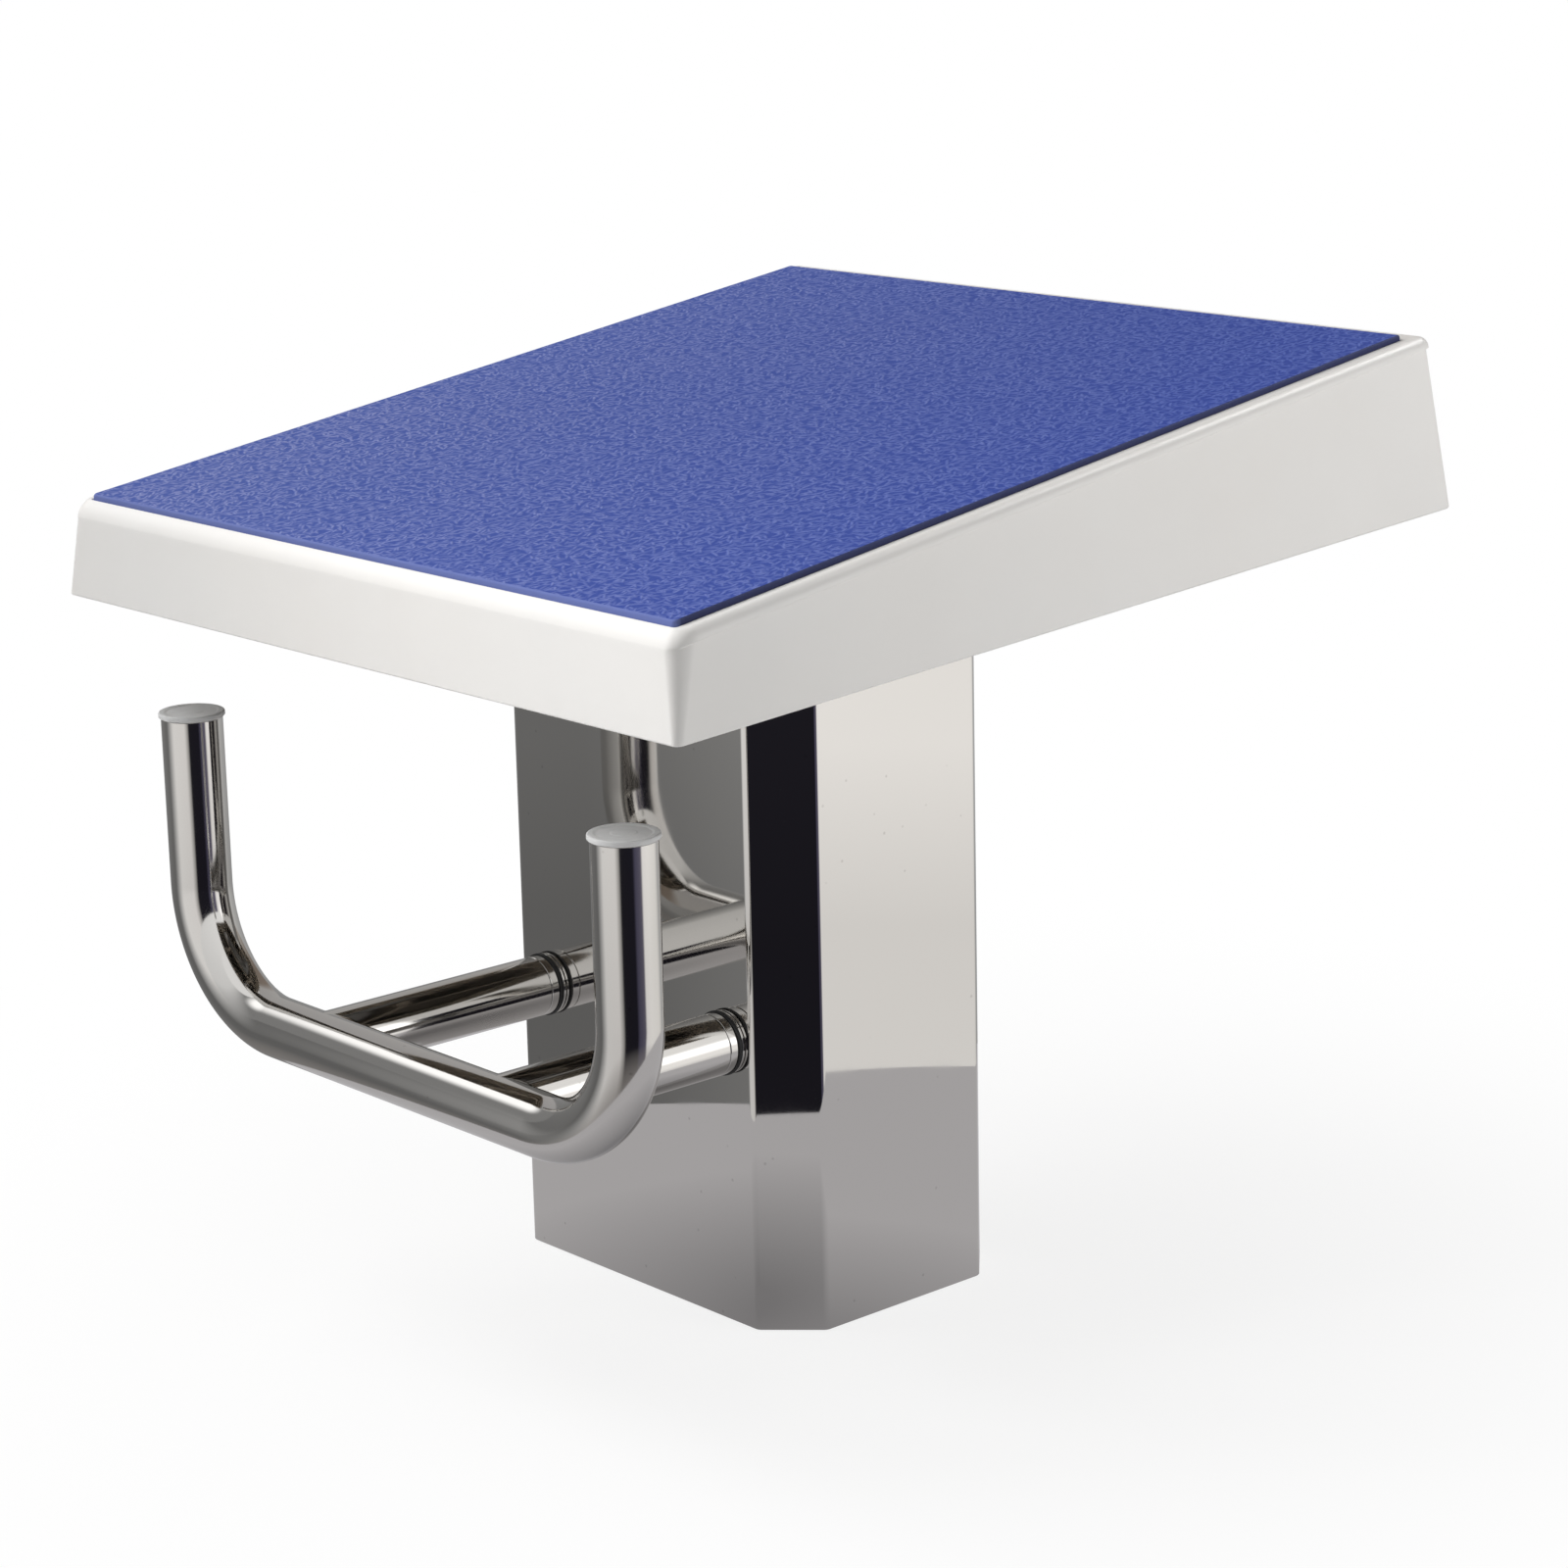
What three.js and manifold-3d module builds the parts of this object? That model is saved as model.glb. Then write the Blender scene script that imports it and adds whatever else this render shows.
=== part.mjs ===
// Swimming starting block: a sloping moulded platform with an anti-slip mat, carried by a folded steel
// column with chamfered corners, and a bent hand rail in front of the column for backstroke starts.
// Millimetres, +Z up, +Y away from the pool, +X to the right as seen from the pool. The origin is the
// centre of the column's foot, on the pool deck.

import * as THREE from 'three';
import { mergeVertices } from 'three/addons/utils/BufferGeometryUtils.js';
import Module from 'manifold-3d';

const wasm = await Module();
wasm.setup();

// Clearances
const fitGap = 0.3; // between pieces that are welded, bonded, pressed in or bolted together
const holeGap = 0.5; // around a bolt in a plain hole
const overrun = 5; // how far a cutting shape runs past what it cuts

// Platform, on the outline of its lower edge
const platformWidth = 520;
const platformDepth = 555;
const platformReach = 264.5; // lower front edge ahead of the column's centre
const lowerEdgeHeight = 383; // lower front edge above the pool deck
const lowerEdgeRise = 35.5; // how much higher the lower rear edge lies
const frontSkirtHeight = 52;
const rearSkirtHeight = 95.2;
const frontDraftShare = 0.075; // lean of the front face, per unit of height
const sideDraftShare = 0.052;
const rearDraftShare = 0.157;
const cornerRadius = 10;
const frontEdgeRadius = 7.5; // rounding of the top edge at the front
const sideEdgeRadius = 4; // rounding of the top edge at the sides and the rear
const skirtWall = 6;
const panelThickness = 9;

// Stiffening ribs moulded under the platform's panel
const ribDepth = 28; // from the middle of the panel's thickness
const ribRoot = 13;
const ribTip = 8;
const sideRibMargin = 30; // long ribs from the edge of the column's flange
const crossRibMargin = 20; // cross ribs, likewise

// Anti-slip mat
const matThickness = 4.5;
const matRecess = 1; // how deep the mat sits in the panel
const matSideMargin = 9.2; // from the theoretical edge of the panel
const matFrontMargin = 6.9;
const matRearMargin = 14;
const matCornerRadius = 3;
const matBevel = 0.6;

// Column, folded from sheet
const columnWidth = 247.4;
const columnDepth = 167.6;
const columnChamfer = 26.7;
const columnWall = 2.5;
const bendRadius = 4;

// Foot of the column
const basePlateThickness = 12;
const anchorSpacingX = 160;
const anchorSpacingY = 100;
const anchorHoleRadius = 7;
const footGussetHeight = 60;
const footGussetLength = 38;
const footGussetThickness = 6;
const footGussetSpacing = 80;

// Flange on the column's sloping top
const flangeSideReach = 36.3; // past the column's sides
const flangeEndReach = 41.2; // past its front and rear
const flangeThickness = 8;
const flangeCornerRadius = 14;
const accessWidth = 150;
const accessDepth = 96;
const accessRadius = 16;
const flangeGussetHeight = 34;
const flangeGussetLength = 26;
const flangeGussetThickness = 6;
const flangeGussetSpacing = 90;

// Inserts bonded under the panel, and the bolts that hold the platform
const insertWidth = 50;
const insertInset = 10; // from the flange's front and rear edges
const insertThickness = 8;
const insertCornerRadius = 6;
const platformBoltReach = 18.3; // outside the column's sides
const platformBoltInset = 30; // from the flange's front and rear edges
const platformBoltRadius = 5;
const platformBoltHeadRadius = 9.8; // across the hexagon's corners
const platformBoltHeadHeight = 6.4;
const platformWasherRadius = 10.5;
const platformWasherThickness = 2;
const boltTipChamfer = 0.8;

// Hand rail
const tubeRadius = 16.85;
const tubeWall = 2;
const railSpan = 370.8; // between the uprights' centre lines
const railReach = 153.3; // bar's centre line ahead of the column's front face
const railHeight = 158.5; // bar's centre line above the pool deck
const uprightTop = 321.2;
const railBendRadius = 70; // of the centre line
const armInset = 48; // arms' centre lines from the column's sides

// Turned end of each arm, with what lies between it and the column
const collarWidth = 5;
const collarChamfer = 0.6;
const spigotLength = 25;
const spigotEndWall = 2; // past the end of the threaded hole
const sealOverhang = 0.85; // past the tube
const sealBoreGap = 2; // round the bolt
const sealThickness = 2.3;
const sealEdgeRadius = 0.7;
const armWasherOverhang = 0.35; // past the tube
const armWasherThickness = 1.5;

// Backing plate and bolts inside the column's front wall
const backingSideGap = 2.5; // to the bends at the ends of the wall
const backingHeight = 60;
const backingThickness = 6;
const backingCornerRadius = 6;
const railBoltRadius = 6;
const railBoltRunout = 4; // from its tip to the end of the threaded hole
const railBoltHeadRadius = 10.9;
const railBoltHeadHeight = 7.5;
const railWasherRadius = 12;
const railWasherThickness = 2.5;

// Caps on the uprights
const capOverhang = 1.3; // past the tube
const capThickness = 3;
const capEdgeRadius = 0.9;
const capSpigotLength = 16;
const capSpigotWall = 2.2;
const capDishMargin = 4.4; // rim left round the shallow dish in the top
const capDishDepth = 0.5;

// Counts of flat facets on the round forms
const tubeSides = 28;
const turnedSides = 24;
const bendSteps = 10;
const smallSides = 16;
const cornerSteps = 6;
const edgeSteps = 4;
const rimSteps = 3;
const hexSides = 6;

// Planes of the platform's lower edge and of its top
const lowerSlope = lowerEdgeRise / platformDepth;
const lowerZ = (y) => lowerEdgeHeight + (y + platformReach) * lowerSlope;
const topFrontY = frontDraftShare * frontSkirtHeight - platformReach;
const topFrontZ = lowerEdgeHeight + frontSkirtHeight;
const topRearY = platformDepth - platformReach - rearDraftShare * rearSkirtHeight;
const topRearZ = lowerEdgeHeight + lowerEdgeRise + rearSkirtHeight;
const topSlope = (topRearZ - topFrontZ) / (topRearY - topFrontY);
const topZ = (y) => topFrontZ + (y - topFrontY) * topSlope;
const topAngle = Math.atan(topSlope);
const topLength = (topRearY - topFrontY) / Math.cos(topAngle);

// What follows the column's size
const flangeWidth = columnWidth + flangeSideReach * 2;
const flangeDepth = columnDepth + flangeEndReach * 2;
const sideRibOffset = flangeWidth / 2 + sideRibMargin;
const insertDepth = flangeDepth - insertInset * 2;
const platformBoltSpacingX = columnWidth + platformBoltReach * 2;
const platformBoltSpacingY = flangeDepth - platformBoltInset * 2;
const armSpacing = columnWidth - armInset * 2;
const backingWidth = columnWidth - (columnChamfer + backingSideGap) * 2;

// Depths below the platform's top, square to it
const insertTop = panelThickness + fitGap;
const insertUnderside = insertTop + insertThickness;
const flangeTop = insertUnderside + fitGap;
const flangeUnderside = flangeTop + flangeThickness;
const columnTop = flangeUnderside + fitGap;

// Frame of the sloping top: its origin is the middle of the front edge, its Z is square to the panel
const slopeFrame = new THREE.Matrix4()
  .makeRotationX(topAngle)
  .setPosition(0, topFrontY, topFrontZ);

// Levels ahead of the column's front face, from the wall out to the arm's tube
const sealStart = fitGap * 2 + armWasherThickness;
const collarStart = sealStart + sealThickness + fitGap;
const armTubeStart = collarStart + collarWidth + fitGap;
const threadDepth = collarWidth + spigotLength - spigotEndWall;
const railBoltEngagement = threadDepth - railBoltRunout;

// Where the column's centre line crosses a level of the sloping frame
const slopeY = (level) => (-topFrontY - level * Math.sin(topAngle)) / Math.cos(topAngle);
const flangeCentreY = slopeY(columnTop);

// Materials
function finish(color, roughness, metalness) {
  return new THREE.MeshStandardMaterial({ color, roughness, metalness });
}
const gelcoat = finish('#ebe9e6', 0.35, 0);
const matRubber = finish('#4a5c9c', 0.85, 0);
const polishedSteel = finish('#c9c8c6', 0.08, 1);
const plainSteel = finish('#a9a9a7', 0.4, 1);
const blackRubber = finish('#161616', 0.7, 0);
const greyPlastic = finish('#acacac', 0.6, 0);

// Solids, for joining and cutting
function toSolid(source) {
  const bare = source.clone();
  bare.deleteAttribute('normal');
  bare.deleteAttribute('uv');
  const merged = mergeVertices(bare);
  const index = merged.index.array;
  const triangles = [];
  for (let i = 0; i < index.length; i += 3) {
    const [a, b, c] = [index[i], index[i + 1], index[i + 2]];
    if (a !== b && b !== c && c !== a) triangles.push(a, b, c);
  }
  return new wasm.Manifold(new wasm.Mesh({
    numProp: 3,
    vertProperties: new Float32Array(merged.attributes.position.array),
    triVerts: new Uint32Array(triangles),
  }));
}

function toGeometry(solid) {
  const mesh = solid.getMesh();
  const geometry = new THREE.BufferGeometry();
  geometry.setAttribute('position', new THREE.BufferAttribute(mesh.vertProperties, 3));
  geometry.setIndex(new THREE.BufferAttribute(mesh.triVerts, 1));
  geometry.computeVertexNormals();
  return geometry;
}

function cut(body, ...tools) {
  let solid = toSolid(body);
  for (const tool of tools) solid = solid.subtract(toSolid(tool));
  return toGeometry(solid);
}

function trim(body, limit) {
  return toGeometry(toSolid(body).intersect(toSolid(limit)));
}

function join(...bodies) {
  const [first, ...others] = bodies.map(toSolid);
  return toGeometry(others.reduce((whole, next) => whole.add(next), first));
}

// A box that stands on the plane z = 0
function slab(width, depth, height) {
  return new THREE.BoxGeometry(width, depth, height).translate(0, 0, height / 2);
}

// A round bar that stands on the plane z = 0
function bar(radius, height, sides) {
  return new THREE.CylinderGeometry(radius, radius, height, sides)
    .rotateX(Math.PI / 2)
    .translate(0, 0, height / 2);
}

// A bar through a plate that lies between two levels of Z
function drill(radius, x, y, low, high) {
  const reach = high - low + overrun * 2;
  return bar(radius, reach, smallSides).translate(x, y, low - overrun);
}

// A profile of [radius, height] points turned about Z
function turn(profile, sides) {
  const points = profile.map(([radius, height]) => new THREE.Vector2(radius, height));
  return new THREE.LatheGeometry(points, sides).rotateX(Math.PI / 2);
}

// A rectangle with round corners, about the origin
function roundedRectangle(width, depth, radius) {
  const shape = new THREE.Shape();
  const cornerX = width / 2 - radius;
  const cornerY = depth / 2 - radius;
  const quarter = Math.PI / 2;
  shape.absarc(cornerX, -cornerY, radius, -quarter, 0);
  shape.absarc(cornerX, cornerY, radius, 0, quarter);
  shape.absarc(-cornerX, cornerY, radius, quarter, quarter * 2);
  shape.absarc(-cornerX, -cornerY, radius, quarter * 2, quarter * 3);
  shape.closePath();
  return shape;
}

// A shape extruded up Z, with so many steps round each of its arcs
function extrude(shape, depth, arcSteps = edgeSteps) {
  return new THREE.ExtrudeGeometry(shape, { depth, bevelEnabled: false, curveSegments: arcSteps / 2 });
}

function circle(radius) {
  return new THREE.Path().absarc(0, 0, radius, 0, Math.PI * 2);
}

// A hexagon-head bolt: its head lies below z = 0 and its shank runs up from there
function hexBolt(radius, length, headRadius, headHeight) {
  const head = bar(headRadius, headHeight, hexSides).translate(0, 0, -headHeight);
  const shank = turn([
    [0, -headHeight / 2],
    [radius, -headHeight / 2],
    [radius, length - boltTipChamfer],
    [radius - boltTipChamfer, length],
    [0, length],
  ], smallSides);
  return join(head, shank);
}

// A flat ring that stands on the plane z = 0
function washer(radius, bore, thickness) {
  return turn([
    [bore, 0],
    [radius, 0],
    [radius, thickness],
    [bore, thickness],
    [bore, 0],
  ], turnedSides);
}

// A closed skin over rings of points that all run the same way round, with flat ends
function loft(rings) {
  const count = rings[0].length;
  const positions = rings.flat().flatMap((point) => [point.x, point.y, point.z]);
  const triangles = [];
  for (let ring = 0; ring < rings.length - 1; ring += 1) {
    for (let i = 0; i < count; i += 1) {
      const a = ring * count + i;
      const b = ring * count + (i + 1) % count;
      triangles.push(a, b, b + count, a, b + count, a + count);
    }
  }
  const last = (rings.length - 1) * count;
  for (let i = 0; i < count / 2 - 1; i += 1) {
    const far = count - 1 - i;
    triangles.push(i, far, i + 1, i + 1, far, far - 1);
    triangles.push(last + i, last + i + 1, last + far, last + i + 1, last + far - 1, last + far);
  }
  const geometry = new THREE.BufferGeometry();
  geometry.setAttribute('position', new THREE.Float32BufferAttribute(positions, 3));
  geometry.setIndex(triangles);
  return geometry;
}

// Outlines of the platform, by how far they lie inside its drafted outer faces
function outline(side, front, rear, radius) {
  return { side, front, rear, radius };
}

function grown(line, by) {
  return outline(line.side - by, line.front - by, line.rear - by, line.radius + by);
}

const outerLine = outline(0, 0, 0, cornerRadius);
const innerLine = grown(outerLine, -skirtWall);
const matLine = outline(matSideMargin, matFrontMargin, matRearMargin, matCornerRadius);

// One level of the platform: a rounded rectangle that draws in with the draft of the faces. Where the faces
// round over into a top, an angle says how far round this level lies, from the face to the top.
function platformRing(line, levelAt, roundingAt = () => 0, angle = Math.PI / 2) {
  const ring = [];
  const pull = 1 - Math.cos(angle);
  const fall = 1 - Math.sin(angle);
  const half = platformWidth / 2 - line.side - line.radius;
  for (let quarter = 0; quarter < 4; quarter += 1) {
    const atRear = quarter < 2;
    const side = quarter === 0 || quarter === 3 ? 1 : -1;
    const end = atRear
      ? platformDepth - platformReach - line.rear - line.radius
      : line.front + line.radius - platformReach;
    const heightOf = (forward) => levelAt(end) - roundingAt(forward) * fall - lowerZ(end);
    const lean = atRear ? -rearDraftShare * heightOf(0) : frontDraftShare * heightOf(1);
    const centreX = side * (half - sideDraftShare * heightOf(0));
    for (let step = 0; step <= cornerSteps; step += 1) {
      const direction = (quarter + step / cornerSteps) * Math.PI / 2;
      const rounding = roundingAt(Math.max(0, -Math.sin(direction)));
      const reach = line.radius - rounding * pull;
      const x = centreX + reach * Math.cos(direction);
      const y = end + lean + reach * Math.sin(direction);
      ring.push(new THREE.Vector3(x, y, levelAt(y) - rounding * fall));
    }
  }
  return ring;
}

// A level that lies so deep below the platform's top, square to it
function below(depth) {
  return (y) => topZ(y) - depth / Math.cos(topAngle);
}

// Levels from the platform's lower edge up the faces and round into a top
function platformSides(line, topLevel, frontRadius, sideRadius, steps) {
  const roundingAt = (forward) => sideRadius + (frontRadius - sideRadius) * forward * forward;
  const rings = [platformRing(line, lowerZ)];
  for (let step = 0; step <= steps; step += 1) {
    rings.push(platformRing(line, topLevel, roundingAt, step / steps * Math.PI / 2));
  }
  return rings;
}

// Moulded platform: a wedge with drafted skirts, open below, with a shallow recess for the mat and ribs
// under its panel. It is made in the sloping frame.
function platformShell() {
  const toSlope = slopeFrame.clone().invert();
  const recessLine = grown(matLine, fitGap);
  const coreLine = grown(outerLine, -skirtWall / 2);
  const innerRounding = innerLine.radius / 2;
  const shell = loft([
    ...platformSides(innerLine, below(panelThickness), innerRounding, innerRounding, 1).reverse(),
    ...platformSides(outerLine, below(0), frontEdgeRadius, sideEdgeRadius, edgeSteps),
    platformRing(recessLine, below(0)),
    platformRing(recessLine, below(matRecess)),
  ]).applyMatrix4(toSlope);
  const core = loft([
    platformRing(coreLine, lowerZ),
    platformRing(coreLine, below(panelThickness / 2)),
  ]).applyMatrix4(toSlope);
  return join(shell, trim(panelRibs(), core));
}

// Two long ribs and two cross ribs frame the column's flange; short ribs run on to the skirts
function panelRibs() {
  const crossRibReach = flangeDepth / 2 + crossRibMargin;
  const frontRibLength = flangeCentreY - crossRibReach;
  const rearRibLength = topLength - flangeCentreY - crossRibReach;
  const sideRibLength = platformWidth / 2 - sideRibOffset;
  const ribs = [
    rib(frontRibLength).translate(0, frontRibLength / 2, 0),
    rib(rearRibLength).translate(0, topLength - rearRibLength / 2, 0),
  ];
  for (const side of [-1, 1]) {
    const x = side * (sideRibOffset + sideRibLength / 2);
    ribs.push(
      rib(topLength).translate(side * sideRibOffset, topLength / 2, 0),
      rib(platformWidth).rotateZ(Math.PI / 2).translate(0, flangeCentreY + side * crossRibReach, 0),
      rib(sideRibLength).rotateZ(Math.PI / 2).translate(x, flangeCentreY, 0),
    );
  }
  return join(...ribs);
}

// A rib of the sloping frame, along Y and about the origin, tapered so that it leaves the mould
function rib(length) {
  const section = new THREE.Shape([
    new THREE.Vector2(-ribTip / 2, -ribDepth),
    new THREE.Vector2(ribTip / 2, -ribDepth),
    new THREE.Vector2(ribRoot / 2, 0),
    new THREE.Vector2(-ribRoot / 2, 0),
  ]);
  return extrude(section, length)
    .rotateX(Math.PI / 2)
    .translate(0, length / 2, -panelThickness / 2);
}

// Mat: a sheet in the recess, with its top edge trimmed off
function antislipMat() {
  const underside = matRecess - fitGap;
  const top = underside - matThickness;
  return loft([
    platformRing(matLine, below(underside)),
    platformRing(matLine, below(top + matBevel)),
    platformRing(grown(matLine, -matBevel), below(top)),
  ]);
}

// Steel strip with two threaded holes, bonded under the panel
function insertPlate() {
  const holes = [-1, 1].map((end) => (
    drill(platformBoltRadius + fitGap, 0, end * platformBoltSpacingY / 2, 0, insertThickness)
  ));
  const plate = extrude(roundedRectangle(insertWidth, insertDepth, insertCornerRadius), insertThickness);
  return cut(plate, ...holes);
}

// The column's section, set in from the outside by a wall or a clearance. All its outlines share the
// centres of the eight bends.
function columnOutline(offset) {
  const shape = new THREE.Shape();
  const x = columnWidth / 2 - bendRadius;
  const y = columnDepth / 2 - bendRadius;
  const leg = columnChamfer - bendRadius * (2 - Math.SQRT2);
  const centres = [
    [x, y - leg],
    [x - leg, y],
    [leg - x, y],
    [-x, y - leg],
    [-x, leg - y],
    [leg - x, -y],
    [x - leg, -y],
    [x, leg - y],
  ];
  const turnOfBend = Math.PI / 4;
  centres.forEach(([centreX, centreY], bend) => {
    shape.absarc(centreX, centreY, bendRadius - offset, bend * turnOfBend, (bend + 1) * turnOfBend);
  });
  shape.closePath();
  return shape;
}

// Column: sheet folded to a chamfered box, cut off at the platform's slope
function columnShell() {
  const section = columnOutline(0);
  section.holes.push(columnOutline(columnWall));
  const tallest = topZ(columnDepth / 2);
  const tube = extrude(section, tallest);
  const above = slab(flangeWidth, flangeDepth, tallest)
    .translate(0, flangeCentreY, -columnTop)
    .applyMatrix4(slopeFrame);
  const holes = [-1, 1].map((side) => (
    railHole(railBoltRadius + holeGap, columnWall + overrun * 2)
      .translate(side * armSpacing / 2, overrun - columnDepth / 2 + columnWall, railHeight)
  ));
  return cut(tube, above, ...holes);
}

// A drill along -Y
function railHole(radius, length) {
  return bar(radius, length, smallSides).rotateX(Math.PI / 2);
}

// Base plate welded inside the column's foot, with four holes for anchors
function basePlate() {
  const plate = extrude(columnOutline(columnWall + fitGap), basePlateThickness);
  const holes = [];
  for (const side of [-1, 1]) {
    for (const end of [-1, 1]) {
      const x = side * anchorSpacingX / 2;
      const y = end * anchorSpacingY / 2;
      holes.push(drill(anchorHoleRadius, x, y, 0, basePlateThickness));
    }
  }
  return cut(plate, ...holes);
}

// Triangular web with its corner cut off, standing in the angle of two plates: it runs along X and up Z
function gusset(length, height, thickness) {
  const nose = thickness;
  const shape = new THREE.Shape([
    new THREE.Vector2(nose, 0),
    new THREE.Vector2(length, 0),
    new THREE.Vector2(length, nose),
    new THREE.Vector2(nose, height),
    new THREE.Vector2(0, height),
    new THREE.Vector2(0, nose),
  ]);
  return extrude(shape, thickness)
    .rotateX(Math.PI / 2)
    .translate(0, thickness / 2, 0);
}

// Flange welded on the column's top, open in the middle so that the anchors can be reached
function topFlange() {
  const shape = roundedRectangle(flangeWidth, flangeDepth, flangeCornerRadius);
  shape.holes.push(roundedRectangle(accessWidth, accessDepth, accessRadius));
  const holes = boltPlaces().map(([x, y]) => (
    drill(platformBoltRadius + holeGap, x, y, 0, flangeThickness)
  ));
  return cut(extrude(shape, flangeThickness), ...holes);
}

function boltPlaces() {
  const x = platformBoltSpacingX / 2;
  const y = platformBoltSpacingY / 2;
  return [[-x, -y], [x, -y], [x, y], [-x, y]];
}

// A path that steps only through its bends, so that a straight run of tube stays one piece
class BentPath extends THREE.Curve {
  constructor(stations) {
    super();
    this.stations = stations;
  }

  at(share) {
    return this.stations[Math.round(share * (this.stations.length - 1))];
  }

  getPoint(share) {
    return this.at(share).point.clone();
  }

  getTangent(share) {
    return this.at(share).tangent.clone();
  }

  getPointAt(share) {
    return this.getPoint(share);
  }

  getTangentAt(share) {
    return this.getTangent(share);
  }
}

// The rail's centre line in the plane of X and Z: down one upright, along the bar, up the other
function railPath() {
  const stations = [];
  const bendX = railSpan / 2 - railBendRadius;
  const bendZ = railHeight + railBendRadius;
  const add = (x, z, angle) => stations.push({
    point: new THREE.Vector3(x, 0, z),
    tangent: new THREE.Vector3(-Math.sin(angle), 0, Math.cos(angle)),
  });
  add(-railSpan / 2, uprightTop, Math.PI);
  for (const side of [-1, 1]) {
    for (let step = 0; step <= bendSteps; step += 1) {
      const start = side < 0 ? Math.PI : Math.PI * 1.5;
      const angle = start + step / bendSteps * Math.PI / 2;
      const x = side * bendX + railBendRadius * Math.cos(angle);
      add(x, bendZ + railBendRadius * Math.sin(angle), angle);
    }
  }
  add(railSpan / 2, uprightTop, 0);
  return new BentPath(stations);
}

function tubeSection() {
  const section = new THREE.Shape().absarc(0, 0, tubeRadius, 0, Math.PI * 2);
  section.holes.push(circle(tubeRadius - tubeWall));
  return section;
}

// Hand rail: one tube bent to a U
function railTube() {
  const extrudePath = railPath();
  const steps = extrudePath.stations.length - 1;
  return new THREE.ExtrudeGeometry(tubeSection(), { extrudePath, steps, curveSegments: tubeSides / 2 });
}

// Arm: a tube from its turned end forward to the bar, coped to the bar's round. It runs along +Z here.
function railArm() {
  const length = railReach - armTubeStart;
  const tube = extrude(tubeSection(), length, tubeSides);
  const cope = bar(tubeRadius + fitGap, tubeRadius * 4, turnedSides)
    .translate(0, 0, -tubeRadius * 2)
    .rotateY(Math.PI / 2)
    .translate(0, 0, length);
  return cut(tube, cope);
}

// Turned end of an arm: a collar as wide as the tube, a spigot in its bore and a blind threaded hole
function armPlug() {
  const bore = railBoltRadius + fitGap;
  const spigotRadius = tubeRadius - tubeWall - fitGap;
  const end = collarWidth + spigotLength;
  return turn([
    [0, threadDepth],
    [bore, threadDepth - bore / 2],
    [bore, 0],
    [tubeRadius - collarChamfer, 0],
    [tubeRadius, collarChamfer],
    [tubeRadius, collarWidth - collarChamfer],
    [tubeRadius - collarChamfer, collarWidth],
    [spigotRadius, collarWidth],
    [spigotRadius, end - tubeWall],
    [spigotRadius - tubeWall, end],
    [0, end],
  ], turnedSides);
}

// Soft ring between collar and column, with rounded rims
function sealRing() {
  const sealRadius = tubeRadius + sealOverhang;
  const sealBore = railBoltRadius + sealBoreGap;
  const profile = [[sealBore, 0]];
  for (const [middle, start] of [[sealEdgeRadius, -Math.PI / 2], [sealThickness - sealEdgeRadius, 0]]) {
    for (let step = 0; step <= rimSteps; step += 1) {
      const angle = start + step / rimSteps * Math.PI / 2;
      const radius = sealRadius - sealEdgeRadius + sealEdgeRadius * Math.cos(angle);
      profile.push([radius, middle + sealEdgeRadius * Math.sin(angle)]);
    }
  }
  profile.push([sealBore, sealThickness], [sealBore, 0]);
  return turn(profile, turnedSides);
}

// Plate behind the column's front wall that spreads the rail's load. It lies along X and up Y here.
function backingPlate() {
  const holes = [-1, 1].map((side) => (
    drill(railBoltRadius + holeGap, side * armSpacing / 2, 0, 0, backingThickness)
  ));
  const shape = roundedRectangle(backingWidth, backingHeight, backingCornerRadius);
  return cut(extrude(shape, backingThickness), ...holes);
}

// Cap: a disc a little wider than the tube, with a dished top and a hollow spigot in the tube's bore
function endCap() {
  const capRadius = tubeRadius + capOverhang;
  const dishRadius = capRadius - capDishMargin;
  const spigotRadius = tubeRadius - tubeWall - fitGap;
  const spigotBore = spigotRadius - capSpigotWall;
  const profile = [
    [0, 0],
    [spigotBore, 0],
    [spigotBore, -capSpigotLength],
    [spigotRadius, -capSpigotLength],
    [spigotRadius, 0],
    [capRadius, 0],
  ];
  for (let step = 0; step <= rimSteps; step += 1) {
    const angle = step / rimSteps * Math.PI / 2;
    const radius = capRadius - capEdgeRadius + capEdgeRadius * Math.cos(angle);
    profile.push([radius, capThickness - capEdgeRadius + capEdgeRadius * Math.sin(angle)]);
  }
  profile.push(
    [dishRadius, capThickness],
    [dishRadius - capDishDepth, capThickness - capDishDepth],
    [0, capThickness - capDishDepth],
  );
  return turn(profile, turnedSides);
}

// Assembly
const startingBlock = new THREE.Group();
const sides = { left: -1, right: 1 };
const ends = { front: -1, rear: 1 };

function piece(group, name, geometry, material) {
  const mesh = new THREE.Mesh(geometry, material);
  mesh.name = name;
  group.add(mesh);
  return mesh;
}

// Platform, and what is built in the sloping frame below it
piece(startingBlock, 'antislip_mat', antislipMat(), matRubber);

const slope = new THREE.Group();
slope.position.set(0, topFrontY, topFrontZ);
slope.rotation.x = topAngle;
startingBlock.add(slope);

piece(slope, 'platform_shell', platformShell(), gelcoat);
piece(slope, 'top_flange', topFlange(), plainSteel).position.set(0, flangeCentreY, -flangeUnderside);

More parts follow.
